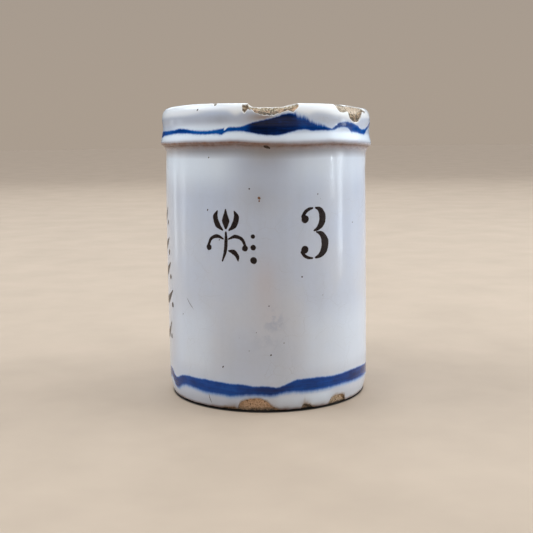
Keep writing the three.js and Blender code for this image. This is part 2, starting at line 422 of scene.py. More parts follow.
RIM_CHIPS = [
    # long break at the front of the lip
    Chip(
        rim_table([(-10.3, 135.9), (-9.7, 135.3), (-9.35, 134.6), (-8.8, 134.15), (-8.2, 133.75), (-7.7, 134.2), (-7.1, 134.35), (-6.5, 133.1), (-5.3, 132.5), (-4.2, 132.45), (-3.4, 131.85), (-2.2, 131.75), (-1.2, 131.25), (0.1, 131.75), (0.9, 131.55), (1.7, 130.9), (2.6, 131.55), (3.6, 131.5), (5.0, 131.95), (6.9, 132.15), (8.2, 132.75), (9.6, 133.0), (11.4, 133.6), (12.7, 133.1), (13.7, 132.7), (15.0, 133.45), (16.3, 134.6), (17.1, 135.4)]),
        crest_table([(-10.3, -1.2), (-9.9, 0.6), (-9.3, 2.2), (-8.2, 3.0), (-3.8, 3.3), (0.0, 3.3), (4.9, 3.2), (8.0, 3.1), (10.5, 2.6), (13.0, 1.9), (14.9, 1.3), (16.4, 0.5), (17.1, -1.0)]),
        rag=0.34, depth=0.36, tone=0.76, grime=0.20, chord=1.0, seed=1, grit=3.1, sink=0.5, low_grime=(134.3, 132.1, 1.15), cream=(0.60, 0.90, 0.9), spots=(0.88, 0.42, 1.7),
    ),
    # deep small hole at its left end
    Chip(rim_table([(-12.9, 135.2), (-12.6, 134.5), (-12.5, 133.8), (-11.7, 133.15), (-10.9, 132.65), (-10.2, 133.25), (-9.7, 133.9), (-9.3, 134.5), (-9.0, 135.0)]), crest_table([(-12.9, -1.9), (-12.2, -1.3), (-11.3, -1.7), (-10.5, -1.2), (-9.6, -1.7), (-9.0, -2.1)]), rag=0.3, depth=0.9, tone=0.25, grime=0.35, seed=8, grit=3.0, spots=(1.2, 1.0, 1.0)),
    # pale shallow flake beside the shield-shaped chip
    Chip(
        rim_table([(39.2, 134.9), (39.6, 134.1), (40.3, 133.3), (41.5, 132.7), (43.9, 132.5), (46.4, 132.7), (47.2, 133.1), (48.4, 133.8)]),
        crest_table([(39.2, -0.8), (40.1, 0.7), (41.2, 1.1), (43.3, 0.8), (44.0, -0.8), (45.5, -1.5), (47.3, -1.9), (48.4, -2.1)]),
        rag=0.24, depth=0.16, tone=-0.30, grime=0.26, seed=2, spots=(1.2, 1.0, 0.6),
    ),
    # shield-shaped chip on the right
    Chip(
        rim_table([(47.3, 134.6), (47.5, 132.8), (47.8, 131.2), (48.6, 130.0), (50.6, 128.75), (53.1, 128.2), (57.0, 128.05), (58.5, 129.1), (60.5, 130.5), (61.9, 131.6), (63.8, 132.5), (65.8, 132.7)]),
        crest_table([(47.3, -1.5), (49.5, -0.9), (51.7, -0.75), (54.0, -0.95), (57.0, -1.15), (60.5, -1.2), (63.5, -1.4), (65.8, -2.0)]),
        rag=0.26, depth=0.72, tone=0.5, grime=0.08, chord=0.45, seed=3, grit=2.4, low_grime=(132.4, 129.6, 0.62), cream=(0.34, 0.66, 1.0), spots=(0.66, 0.36, 0.9),
    ),
    Chip(rim_table([(64.9, 132.75), (65.6, 132.2), (67.3, 131.95), (68.8, 132.6)]), rim_table([(64.9, 133.0), (66.4, 133.5), (68.8, 132.9)]), rag=0.12, depth=0.4, tone=0.5, grime=1.0, seed=4),
    Chip(crest_table([(-29.4, -0.9), (-28.5, -2.0), (-27.7, -2.4), (-26.6, -1.6)]), crest_table([(-29.4, -0.6), (-28.6, 0.3), (-27.7, 0.1), (-26.6, -1.1)]), rag=0.16, depth=0.5, tone=0.6, grime=1.0, seed=5),
    # small knocks round the back of the lip
    Chip(crest_table([(118.0, -1.0), (119.5, -2.4), (122.0, -3.2), (124.5, -2.6), (126.0, -1.0)]), crest_table([(118.0, 0.2), (122.0, 1.4), (126.0, 0.2)]), rag=0.25, depth=0.3, tone=0.4, grime=0.35, chord=0.8, seed=6),
    Chip(crest_table([(-141.5, -0.8), (-140.0, -1.8), (-138.0, -2.0), (-136.6, -0.8)]), crest_table([(-141.5, 0.1), (-139.0, 0.8), (-136.6, 0.1)]), rag=0.2, depth=0.25, tone=0.4, grime=0.4, chord=0.6, seed=7),
]
_low = float(OUTER.s[0]) - 1.0
FOOT_CHIPS = [
    # long bare oval at the front of the foot
    Chip([(-17.5, _low), (6.2, _low)], rim_table([(-17.5, 0.7), (-16.9, 2.2), (-16.2, 3.5), (-15.3, 4.5), (-12.8, 5.6), (-9.7, 6.35), (-6.6, 6.65), (-4.1, 6.4), (-1.8, 5.4), (-0.3, 4.5), (1.2, 3.3), (2.7, 2.35), (4.6, 1.6), (6.2, 0.8)]), rag=0.24, depth=0.14, tone=0.85, grime=0.02, seed=11, low_grime=(2.6, 0.7, 0.55)),
    # dark scuffed patch
    Chip([(18.4, _low), (25.4, _low)], rim_table([(18.4, 0.8), (18.9, 2.2), (19.9, 3.2), (21.4, 2.7), (23.7, 2.1), (25.4, 0.8)]), rag=0.5, depth=0.1, tone=0.9, grime=1.2, seed=12),
    # chip on the right of the foot
    Chip([(35.8, _low), (48.9, _low)], rim_table([(35.8, 0.9), (36.2, 3.05), (37.45, 3.9), (39.8, 4.7), (42.5, 4.65), (45.1, 4.3), (47.4, 3.6), (48.3, 2.3), (48.9, 0.9)]), rag=0.26, depth=0.3, tone=0.40, grime=0.0, seed=13, spots=(1.2, 1.0, 0.25)),
    Chip([(-27.0, _low), (-18.0, _low)], rim_table([(-27.0, 0.8), (-25.0, 1.5), (-22.0, 1.3), (-19.0, 1.9), (-18.0, 1.0)]), rag=0.4, depth=0.1, tone=0.9, grime=0.6, seed=14),
    Chip([(96.0, _low), (104.0, _low)], rim_table([(96.0, 1.0), (98.0, 2.4), (101.0, 3.0), (104.0, 1.2)]), rag=0.3, depth=0.2, tone=0.6, grime=0.3, seed=15),
    Chip([(-156.0, _low), (-146.0, _low)], rim_table([(-156.0, 1.0), (-152.0, 2.6), (-148.0, 2.2), (-146.0, 1.0)]), rag=0.3, depth=0.2, tone=0.7, grime=0.3, seed=16),
]


def glaze_keep(th, s):
    """Positive where the outer coat is whole."""
    f = np.full(np.shape(th), 9.0)
    for c in RIM_CHIPS + FOOT_CHIPS:
        f = np.minimum(f, c.outside(th, s))
    # the coat stops unevenly just above the ground
    x, y = BODY_R * np.sin(th), -BODY_R * np.cos(th)
    edge = 0.30 + 0.30 * noise(x / 7, y / 7, 0.0, 71) + 0.18 * noise(x / 1.8, y / 1.8, 0.0, 72)
    return np.minimum(f, s - OUTER.s[0] - np.maximum(edge, 0.05))


# ------------------------------------------------------------------ painted bands

RIM_TOP = [(-90.0, 124.0), (-80.0, 124.6), (-74.5, 125.0), (-65.0, 125.25), (-58.0, 125.6), (-52.5, 126.3), (-46.9, 126.05), (-41.7, 125.5), (-36.2, 125.25), (-31.2, 125.25), (-26.5, 125.75), (-22.3, 126.3), (-20.0, 126.8), (-16.4, 126.8), (-13.4, 126.95), (-11.5, 127.25), (-9.0, 128.05), (-7.0, 128.75), (-4.8, 129.1), (-2.8, 129.55), (-0.4, 129.9), (2.0, 130.3), (4.4, 130.8), (6.8, 131.4), (8.1, 131.95), (10.5, 132.3), (13.0, 132.4), (15.1, 132.2), (15.9, 131.4), (17.5, 131.1), (19.3, 130.9), (20.7, 130.2), (22.0, 129.7), (23.6, 128.6), (27.0, 127.7), (31.0, 126.9), (33.6, 126.0), (36.1, 125.55), (37.8, 126.45), (39.4, 127.5), (41.6, 128.25), (43.9, 128.5), (47.8, 128.35), (51.3, 127.8), (53.9, 127.2), (57.4, 126.45), (59.7, 125.4), (63.2, 124.8), (67.6, 125.0), (72.2, 126.1), (79.7, 128.3), (83.0, 129.2)]
RIM_LOW = [(-90.0, 121.7), (-80.0, 122.0), (-72.3, 122.75), (-64.0, 123.35), (-57.5, 123.85), (-52.2, 124.05), (-46.7, 124.05), (-41.4, 123.85), (-36.0, 123.6), (-31.0, 123.7), (-26.4, 123.85), (-22.9, 123.4), (-21.7, 124.3), (-19.8, 124.8), (-16.4, 124.9), (-13.4, 124.95), (-11.5, 124.7), (-7.8, 124.25), (-4.1, 123.5), (-0.5, 123.2), (3.4, 122.95), (6.7, 123.1), (10.5, 123.85), (14.3, 124.65), (16.8, 125.1), (20.2, 125.35), (22.1, 125.05), (23.7, 124.7), (27.5, 124.8), (31.0, 124.85), (33.5, 124.7), (36.1, 124.8), (37.8, 124.9), (39.8, 125.7), (42.9, 126.1), (45.4, 126.0), (47.7, 125.6), (49.3, 124.6), (50.4, 123.75), (54.9, 123.4), (58.2, 122.9), (64.5, 122.5), (68.0, 123.0), (70.5, 124.1), (80.5, 126.4), (83.0, 127.0)]
FOOT_TOP = [(-74.1, 13.0), (-70.6, 12.2), (-67.6, 10.7), (-64.8, 10.1), (-62.0, 10.6), (-59.6, 11.5), (-57.2, 12.25), (-52.8, 13.0), (-48.9, 13.15), (-42.2, 13.2), (-36.3, 13.5), (-30.9, 13.15), (-25.8, 13.2), (-21.1, 12.6), (-16.5, 12.9), (-12.1, 12.6), (-7.7, 12.0), (-3.4, 12.2), (0.8, 11.95), (4.0, 11.5), (6.2, 11.75), (9.4, 12.75), (12.7, 13.9), (15.0, 14.6), (18.3, 14.75), (22.9, 14.75), (27.8, 14.8), (33.0, 14.5), (38.6, 14.25), (44.8, 14.45), (52.2, 14.75), (61.6, 14.5), (70.4, 13.9), (76.3, 13.2)]
FOOT_LOW = [(-74.1, 9.2), (-70.6, 7.5), (-67.6, 5.3), (-64.8, 4.5), (-62.0, 4.9), (-59.6, 5.9), (-57.2, 7.0), (-52.8, 7.8), (-48.9, 7.9), (-42.2, 7.4), (-36.3, 6.8), (-30.9, 6.8), (-25.8, 6.8), (-21.1, 6.3), (-16.5, 6.8), (-12.1, 7.4), (-7.7, 7.6), (-3.4, 7.5), (0.8, 7.2), (4.0, 7.5), (6.2, 8.1), (9.4, 8.6), (13.8, 8.7), (18.3, 8.5), (22.9, 8.4), (27.8, 8.4), (33.0, 8.5), (38.6, 8.8), (44.8, 9.0), (52.2, 8.8), (61.6, 8.5), (70.4, 8.4), (76.3, 8.4)]


def paint_fields(th, z):
    """Distances inside each band's edges, mm, and how thick the colour lies."""
    x, y = BODY_R * np.sin(th), -BODY_R * np.cos(th)
    wave = 0.8 * noise(x / 16, y / 16, 3.3, 91)
    rt = band(th, RIM_TOP, lambda t: 126.3 + 0.7 * np.sin(3 * t + 0.4) + 0.4 * np.sin(7 * t) + wave)
    rl = band(th, RIM_LOW, lambda t: 124.0 + 0.5 * np.sin(3 * t + 0.6) + 0.25 * np.sin(8 * t + 1) + 0.5 * wave)
    ft = band(th, FOOT_TOP, lambda t: 13.2 + 0.6 * np.sin(2 * t + 2.0) + 0.4 * np.sin(5 * t) + wave)
    fl = band(th, FOOT_LOW, lambda t: 8.3 + 0.6 * np.sin(2 * t + 2.2) + 0.35 * np.sin(6 * t + 1) + 0.6 * wave)
    deg = np.degrees(wrap(th))
    rim_k = 0.50 + 0.38 * smooth(-11.5, -6.5, deg) * (1 - smooth(10, 20, deg)) + 0.14 * smooth(10, 18, deg) * (1 - smooth(28, 36, deg))
    rim_k = rim_k + 0.06 * smooth(27, 32, deg) * (1 - smooth(47, 53, deg)) + 0.12 * np.exp(-(((deg - 44.0) / 4.5) ** 2)) + 0.08 * noise(x / 10, y / 10, 1.0, 92) + 0.12 * noise(x / 3.0, y / 3.0, 2.0, 94) * smooth(44, 52, deg)
    foot_k = 0.55 + 0.12 * smooth(-50, -58, deg) * smooth(-80, -70, deg) + 0.10 * smooth(31, 41, deg) * (1 - smooth(80, 95, deg)) + 0.10 * smooth(-20, -10, deg) * (1 - smooth(9, 20, deg)) + 0.08 * noise(x / 9, y / 9, 5.0, 93)
    # a slanting scratch through the rim band's upper edge
    across = 0.84 * (np.radians(deg) * BODY_R + 17.5 - 0.64 * (z - 126.4))
    rt = rt - 1.9 * np.exp(-((across / 0.36) ** 2)) * smooth(124.9, 125.7, z) * (np.abs(deg + 21) < 6)
    # the loaded end of the brush left hairy ends on the right of the dark daub
    bristle = smooth(11.5, 15.5, deg) * (1 - smooth(28, 35, deg))
    return rt - z, z - rl, ft - z, z - fl, rim_k, foot_k, bristle


def blob(th, z, deg, z0, rx, rz):
    """A soft patch round a point of the front, 0..1."""
    du = wrap(th - math.radians(deg)) * BODY_R / rx
    dz = (z - z0) / rz
    return np.exp(-(du * du + dz * dz))


# ------------------------------------------------------------------ shader helpers


class Tree:
    def __init__(self, name):
        self.mat = bpy.data.materials.new(name)
        self.mat.use_nodes = True
        self.t = self.mat.node_tree
        self.t.nodes.clear()
        self.out = self.add("ShaderNodeOutputMaterial")
        self.bsdf = self.add("ShaderNodeBsdfPrincipled")
        self.link(self.bsdf.outputs[0], self.out.inputs[0])
        co = self.add("ShaderNodeTexCoord")
        self.mm = self.vmath("SCALE", co.outputs["Object"], scale=1000.0)

    def add(self, kind, **props):
        n = self.t.nodes.new(kind)
        for k, v in props.items():
            setattr(n, k, v)
        return n

    def link(self, a, b):
        self.t.links.new(a, b)

    def put(self, socket, value):
        if isinstance(value, bpy.types.NodeSocket):
            self.link(value, socket)
        else:
            socket.default_value = value

    def math(self, op, a, b=0.0, c=0.0, clamp=False):
        n = self.add("ShaderNodeMath", operation=op, use_clamp=clamp)
        for k, v in enumerate((a, b, c)):
            self.put(n.inputs[k], v)
        return n.outputs[0]

    def vmath(self, op, a, b=(0, 0, 0), scale=None):
        n = self.add("ShaderNodeVectorMath", operation=op)
        self.put(n.inputs[0], a)
        self.put(n.inputs[1], b)
        if scale is not None:
            n.inputs["Scale"].default_value = scale
        return n.outputs[0]

    def attr(self, name):
        return self.add("ShaderNodeAttribute", attribute_name=name).outputs["Fac"]

    def noise(self, scale, detail=3.0, rough=0.55, vec=None, distortion=0.0):
        n = self.add("ShaderNodeTexNoise")
        self.put(n.inputs["Vector"], vec if vec is not None else self.mm)
        n.inputs["Scale"].default_value = scale
        n.inputs["Detail"].default_value = detail
        n.inputs["Roughness"].default_value = rough
        n.inputs["Distortion"].default_value = distortion
        return n.outputs["Fac"]

    def voronoi(self, scale, feature="F1", vec=None, out="Distance", randomness=1.0):
        n = self.add("ShaderNodeTexVoronoi", feature=feature)
        self.put(n.inputs["Vector"], vec if vec is not None else self.mm)
        n.inputs["Scale"].default_value = scale
        n.inputs["Randomness"].default_value = randomness
        return n.outputs[out]

    def step(self, a, b, x, lo=0.0, hi=1.0):
        n = self.add("ShaderNodeMapRange", interpolation_type="SMOOTHSTEP")
        self.put(n.inputs["Value"], x)
        for k, v in (("From Min", a), ("From Max", b), ("To Min", lo), ("To Max", hi)):
            n.inputs[k].default_value = v
        return n.outputs["Result"]

    def linear(self, a, b, x, lo=0.0, hi=1.0):
        n = self.add("ShaderNodeMapRange")
        self.put(n.inputs["Value"], x)
        for k, v in (("From Min", a), ("From Max", b), ("To Min", lo), ("To Max", hi)):
            n.inputs[k].default_value = v
        return n.outputs["Result"]

    def mix(self, fac, a, b, blend="MIX"):
        n = self.add("ShaderNodeMix", data_type="RGBA", blend_type=blend)
        self.put(n.inputs["Factor"], fac)
        self.put(n.inputs[6], a if isinstance(a, bpy.types.NodeSocket) else (*a, 1.0))
        self.put(n.inputs[7], b if isinstance(b, bpy.types.NodeSocket) else (*b, 1.0))
        return n.outputs[2]

    def ramp(self, fac, stops):
        n = self.add("ShaderNodeValToRGB")
        self.put(n.inputs[0], fac)
        el = n.color_ramp.elements
        while len(el) < len(stops):
            el.new(0.5)
        for e, (p, c) in zip(el, stops):
            e.position = p
            e.color = (*c, 1.0)
        return n.outputs[0]

    def bump(self, height, normal=None):
        """height is in metres."""
        n = self.add("ShaderNodeBump")
        n.inputs["Strength"].default_value = 1.0
        n.inputs["Distance"].default_value = 1.0
        self.put(n.inputs["Height"], height)
        if normal is not None:
            self.put(n.inputs["Normal"], normal)
        return n.outputs[0]


WHITE = (0.594, 0.63, 0.7065)


def stretched(t, x, y, z):
    return t.vmath("MULTIPLY", t.mm, (x, y, z))


def glaze_material(name, decorated, white=WHITE, stain=0.0, knocks=False):
    """Opaque tin glaze over buff clay. The decorated coat also carries the painted bands."""
    t = Tree(name)
    # uneven whiteness: cool where the coat is thick, faintly pink and grey where it is thin
    cloud = t.noise(0.035, 3.0, 0.5)
    fine = t.noise(0.5, 4.0, 0.6)
    runs = t.noise(1.0, 2.0, 0.5, stretched(t, 0.16, 0.16, 0.012))
    col = t.mix(t.step(0.35, 0.68, cloud), tuple(c * k for c, k in zip(white, (0.97, 0.985, 1.03))), tuple(c * k for c, k in zip(white, (1.03, 1.0, 0.975))))
    col = t.mix(t.step(0.3, 0.75, runs, 0.0, 0.35), col, tuple(c * 0.90 for c in white))
    col = t.mix(t.linear(0.25, 0.75, fine, 0.0, 0.16), col, tuple(c * k for c, k in zip(white, (0.84, 0.83, 0.82))))
    # painted tint: cooler towards the mouth and warmer lower down, standing in for cool light from above and warm light
    # off the floor
    level = t.add("ShaderNodeSeparateXYZ")
    t.link(t.mm, level.inputs[0])
    col = t.mix(1.0, col, t.mix(t.step(30.0, 120.0, level.outputs[2]), (1.012, 1.0, 0.985), (0.955, 0.995, 1.045)), "MULTIPLY")
    # hairline crazing, only in places
    warp = t.add("ShaderNodeTexNoise")
    t.link(t.mm, warp.inputs["Vector"])
    warp.inputs["Scale"].default_value = 0.25
    warped = t.vmath("ADD", t.mm, t.vmath("SCALE", warp.outputs["Color"], scale=2.0))
    hair = t.voronoi(0.11, "DISTANCE_TO_EDGE", warped)
    hair2 = t.voronoi(0.23, "DISTANCE_TO_EDGE", warped)
    lines = t.math("MAXIMUM", t.step(0.003, 0.009, hair, 1.0, 0.0), t.step(0.004, 0.012, hair2, 0.55, 0.0))
    lines = t.math("MULTIPLY", lines, t.step(0.46, 0.62, t.noise(0.05, 2.0)))
    col = t.mix(t.math("MULTIPLY", lines, 0.20), col, (0.33, 0.29, 0.26))
    # pinholes and iron specks
    cell = t.add("ShaderNodeTexVoronoi", feature="F1")
    t.link(t.mm, cell.inputs["Vector"])
    cell.inputs["Scale"].default_value = 0.16
    sep = t.add("ShaderNodeSeparateColor")
    t.link(cell.outputs["Color"], sep.inputs[0])
    some = t.step(0.80, 0.84, sep.outputs[0])
    size = t.linear(0.0, 1.0, sep.outputs[1], 0.012, 0.042)
    near = t.math("LESS_THAN", cell.outputs["Distance"], size)
    speck = t.math("MULTIPLY", near, some)
    col = t.mix(t.math("MULTIPLY", speck, t.linear(0.0, 1.0, sep.outputs[2], 0.35, 0.9)), col, (0.10, 0.06, 0.045))
    # the coat drawn thin over an edge lets the clay show through; on the outer coat this brown also runs a little under
    # the bead as painted shade
    thin = t.attr("thin")
    thin = t.math("MULTIPLY", thin, t.linear(0.3, 0.7, t.noise(0.35, 3.0), 0.84, 1.12), clamp=True)
    if decorated:
        # painted light: whiter, bluish glaze where the bead, the upper sides of the wall, a strip above the rim band
        # and patches near the foot would catch more light
        col = t.mix(t.attr("painted_light"), col, (0.805, 0.885, 0.98))
        # painted highlight: the lip whiter from its crest down
        col = t.mix(t.attr("lip"), col, (0.90, 0.905, 0.91))
        # painted shade: darker under the bead's overhang and in the collar's waist
        col = t.mix(t.attr("shade"), col, (0.21, 0.207, 0.216))
    col = t.mix(thin, col, t.mix(t.linear(0.3, 0.7, t.noise(0.8, 4.0)), (0.166, 0.081, 0.052), (0.272, 0.14, 0.092)))
    if stain:
        # tea-brown staining inside
        tide = t.attr("tide")
        spots = t.step(0.38, 0.7, t.noise(0.09, 5.0, 0.62))
        col = t.mix(t.math("MULTIPLY", t.math("MULTIPLY", tide, spots), stain, clamp=True), col, (0.42, 0.29, 0.17))
    rough = t.linear(0.3, 0.7, t.noise(0.22, 4.0), 0.12, 0.21)
    rough = t.math("ADD", rough, t.math("MULTIPLY", thin, 0.25))
    if knocks:
        # clay bared by small knocks, with a bruised white rim
        bare = t.math("ADD", t.attr("bare"), t.linear(0.25, 0.75, t.noise(0.9, 4.0), -0.16, 0.16))
        grain = t.noise(2.1, 5.0, 0.68)
        clay = t.ramp(grain, [(0.27, (0.15, 0.085, 0.04)), (0.42, (0.43, 0.29, 0.17)), (0.58, (0.62, 0.44, 0.28)), (0.78, (0.78, 0.62, 0.44))])
        col = t.mix(t.step(0.34, 0.72, bare, 0.8, 0.0), col, (0.88, 0.88, 0.88))
        inside_knock = t.step(0.20, 0.36, bare, 1.0, 0.0)
        col = t.mix(inside_knock, col, clay)
        rough = t.math("ADD", rough, t.math("MULTIPLY", inside_knock, 0.6))
    if decorated:
        col = t.mix(t.math("MULTIPLY", t.attr("brown"), 0.75, clamp=True), col, (0.30, 0.20, 0.13))
        col = t.mix(t.math("MULTIPLY", t.attr("pink"), 0.5, clamp=True), col, (0.595, 0.505, 0.495))
        col = t.mix(t.math("MULTIPLY", t.math("MULTIPLY", t.attr("blue"), t.step(0.42, 0.62, t.noise(0.28, 4.0))), 0.45, clamp=True), col, (0.305, 0.36, 0.495))
        # painted shade: greyer under the bead and down the middle of the front
        col = t.mix(t.math("MULTIPLY", t.attr("grey"), 0.6, clamp=True), col, (0.36, 0.345, 0.35))
        # bruised white rim of each break in the lip, partly painted highlight where the broken edge catches light;
        # brown rim of each break in the foot
        gap, gap_foot = t.attr("gap"), t.attr("gap_foot")
        gap = t.math("ADD", gap, t.linear(0.25, 0.75, t.noise(0.42, 3.0), -0.35, 0.55))
        col = t.mix(t.step(0.25, 0.75, gap, 0.95, 0.0), col, (0.93, 0.935, 0.94))
        ragged = t.math("ADD", gap_foot, t.linear(0.25, 0.75, t.noise(0.7, 3.0), -0.45, 0.45))
        col = t.mix(t.step(0.0, 1.5, ragged, 0.62, 0.0), col, (0.34, 0.225, 0.14))
        # cobalt bands: brush hair noise on the edges, thin colour at the edges, thick in the middle
        hairs = t.linear(0.0, 1.0, t.noise(1.0, 3.0, 0.6, stretched(t, 0.9, 0.9, 0.30)), -1.0, 1.0)
        tuft = t.attr("bristle")
        bristles = t.linear(0.25, 0.75, t.noise(1.0, 3.0, 0.65, stretched(t, 1.35, 1.35, 0.10)), -1.0, 1.0)
        bristles = t.math("MULTIPLY", bristles, tuft)
        loose = t.math("ADD", 1.0, t.math("MULTIPLY", tuft, 1.9))
        soft = t.linear(0.0, 1.0, t.noise(0.16, 2.0), -1.0, 1.0)
        drag = t.noise(1.0, 3.0, 0.55, stretched(t, 0.10, 0.10, 1.1))
        cloudb = t.noise(0.35, 4.0, 0.6)
        spots = t.noise(0.8, 4.0, 0.65)

        def brushed(top, low, thick, hair_t, edge_t, hair_l, edge_l, bleed):
            a = t.math("ADD", t.attr(top), t.math("ADD", t.math("MULTIPLY", hairs, hair_t), t.math("MULTIPLY", soft, 0.22)))
            b = t.math("ADD", t.attr(low), t.math("ADD", t.math("MULTIPLY", hairs, hair_l), t.math("MULTIPLY", soft, 0.22)))
            if top == "rim_top":
                a = t.math("DIVIDE", t.math("ADD", a, t.math("MULTIPLY", bristles, 0.62)), loose)
            on = t.math("MULTIPLY", t.step(-edge_t, edge_t, a), t.step(-edge_l, edge_l, b))
            body = t.math("MULTIPLY", t.step(-0.25, 0.9, a, 0.45, 1.0), t.step(-0.4, bleed, b, 0.30, 1.0))
            k = t.math("MULTIPLY", t.attr(thick), body)
            k = t.math("MULTIPLY", k, t.linear(0.25, 0.75, drag, 0.84, 1.16))
            k = t.math("MULTIPLY", k, t.linear(0.2, 0.8, cloudb, 0.88, 1.12))
            # colour that ran a little into the white
            halo = t.math("MULTIPLY", t.step(-0.95, 0.1, a), t.step(-1.3, 0.1, b))
            halo = t.math("MULTIPLY", halo, t.step(0.36, 0.62, spots, 0.25, 0.85))
            return on, k, halo

        def blue(k):
            return t.ramp(k, [(0.0, (0.38, 0.53, 0.73)), (0.14, (0.135, 0.31, 0.62)), (0.30, (0.010, 0.112, 0.42)), (0.50, (0.0015, 0.052, 0.262)), (0.68, (0.0015, 0.025, 0.142)), (0.86, (0.002, 0.012, 0.064)), (1.0, (0.002, 0.0075, 0.032))])

        on1, k1, halo1 = brushed("rim_top", "rim_low", "rim_k", 0.34, 0.36, 0.24, 0.46, 0.8)
        on2, k2, halo2 = brushed("foot_top", "foot_low", "foot_k", 0.34, 0.48, 0.42, 1.35, 1.9)
        col = t.mix(t.math("MAXIMUM", halo1, halo2), col, (0.50, 0.61, 0.78))
        col = t.mix(on1, col, blue(k1))
        col = t.mix(on2, col, blue(k2))
        rough = t.math("SUBTRACT", rough, t.math("MULTIPLY", t.math("MAXIMUM", on1, on2), 0.03))
    t.link(col, t.bsdf.inputs["Base Color"])
    t.link(rough, t.bsdf.inputs["Roughness"])
    t.bsdf.inputs["IOR"].default_value = 1.45
    t.bsdf.inputs["Specular IOR Level"].default_value = 0.34
    # skin of the glaze: gentle ripple, fine orange peel, sunk pinholes
    h = t.math("MULTIPLY", t.noise(0.17, 2.0, 0.5), 0.000045)
    h = t.math("ADD", h, t.math("MULTIPLY", t.noise(0.9, 2.0, 0.5), 0.0000045))
    h = t.math("SUBTRACT", h, t.math("MULTIPLY", speck, 0.00005))
    h = t.math("SUBTRACT", h, t.math("MULTIPLY", lines, 0.000012))
    t.link(t.bump(h), t.bsdf.inputs["Normal"])
    return t.mat


def fracture_material(name, fresh=(0.93, 0.925, 0.915), dirty=(0.60, 0.53, 0.44)):
    """The broken edge of the glaze: chalky, dull."""
    t = Tree(name)
    n = t.noise(1.4, 4.0, 0.65)
    t.link(t.mix(t.linear(0.3, 0.7, n), fresh, dirty), t.bsdf.inputs["Base Color"])
    t.link(t.linear(0.3, 0.7, n, 0.38, 0.6), t.bsdf.inputs["Roughness"])
    t.link(t.bump(t.math("MULTIPLY", n, 0.00012)), t.bsdf.inputs["Normal"])
    return t.mat


def clay_material(name, tones=True):
    """Porous buff earthenware with grit and pits."""
    t = Tree(name)
    grain = t.noise(1.45, 5.0, 0.70)
    coarse = t.noise(0.55, 4.0, 0.6)
    tint = t.noise(0.09, 3.0, 0.5)
    pale = t.ramp(grain, [(0.31, (0.11, 0.072, 0.035)), (0.43, (0.38, 0.285, 0.175)), (0.54, (0.65, 0.54, 0.385)), (0.70, (0.85, 0.77, 0.62))])
    tan = t.ramp(grain, [(0.24, (0.27, 0.135, 0.065)), (0.40, (0.55, 0.32, 0.18)), (0.56, (0.73, 0.46, 0.285)), (0.74, (0.86, 0.63, 0.44))])
    lumps = t.noise(1.15, 3.0, 0.6)
    if tones:
        tone, grime = t.attr("tone"), t.attr("grime")
    else:
        tone, grime = t.linear(0.3, 0.7, tint, 0.45, 0.85), t.step(0.45, 0.75, coarse, 0.0, 0.35)
    darkening = t.math("SUBTRACT", lumps, t.math("MULTIPLY", t.math("MINIMUM", grime, 1.0), 0.15))
    pale = t.mix(t.step(0.34, 0.46, darkening, 0.9, 0.0), pale, (0.095, 0.066, 0.032))
    tan = t.mix(t.step(0.28, 0.41, darkening, 0.6, 0.0), tan, (0.17, 0.10, 0.052))
    col = t.mix(t.math("ADD", tone, t.linear(0.3, 0.7, tint, -0.15, 0.15), clamp=True), pale, tan)
    col = t.mix(t.step(-0.45, -0.10, tone, 0.85, 0.0), col, t.mix(t.linear(0.35, 0.65, grain), (0.64, 0.49, 0.36), (0.86, 0.74, 0.61)))
    # darker where the mask is high: dirt in and round the breaks, with painted shade near the ground under the foot
    col = t.mix(t.math("MULTIPLY", grime, t.step(0.36, 0.62, coarse, 1.0, 0.30), clamp=True), col, (0.15, 0.125, 0.095))
    # near-black where the mask runs past 1: painted contact shade in the gap under the foot, and soot in the worst
    # break
    col = t.mix(t.step(1.05, 1.7, grime), col, (0.014, 0.011, 0.009))
    # pits and dark grit
    pit = t.add("ShaderNodeTexVoronoi", feature="F1")
    t.link(t.mm, pit.inputs["Vector"])
    pit.inputs["Scale"].default_value = 0.75
    sep = t.add("ShaderNodeSeparateColor")
    t.link(pit.outputs["Color"], sep.inputs[0])
    hole = t.math("MULTIPLY", t.step(0.12, 0.30, pit.outputs["Distance"], 1.0, 0.0), t.step(0.62, 0.70, sep.outputs[0]))
    col = t.mix(t.math("MULTIPLY", hole, 0.85), col, (0.05, 0.028, 0.015))
    t.link(col, t.bsdf.inputs["Base Color"])
    t.link(t.linear(0.3, 0.7, grain, 0.78, 0.95), t.bsdf.inputs["Roughness"])
    t.bsdf.inputs["IOR"].default_value = 1.4
    h = t.math("ADD", t.math("MULTIPLY", grain, 0.00030), t.math("MULTIPLY", coarse, 0.00045))
    h = t.math("SUBTRACT", h, t.math("MULTIPLY", hole, 0.00030))
    t.link(t.bump(h), t.bsdf.inputs["Normal"])
    return t.mat


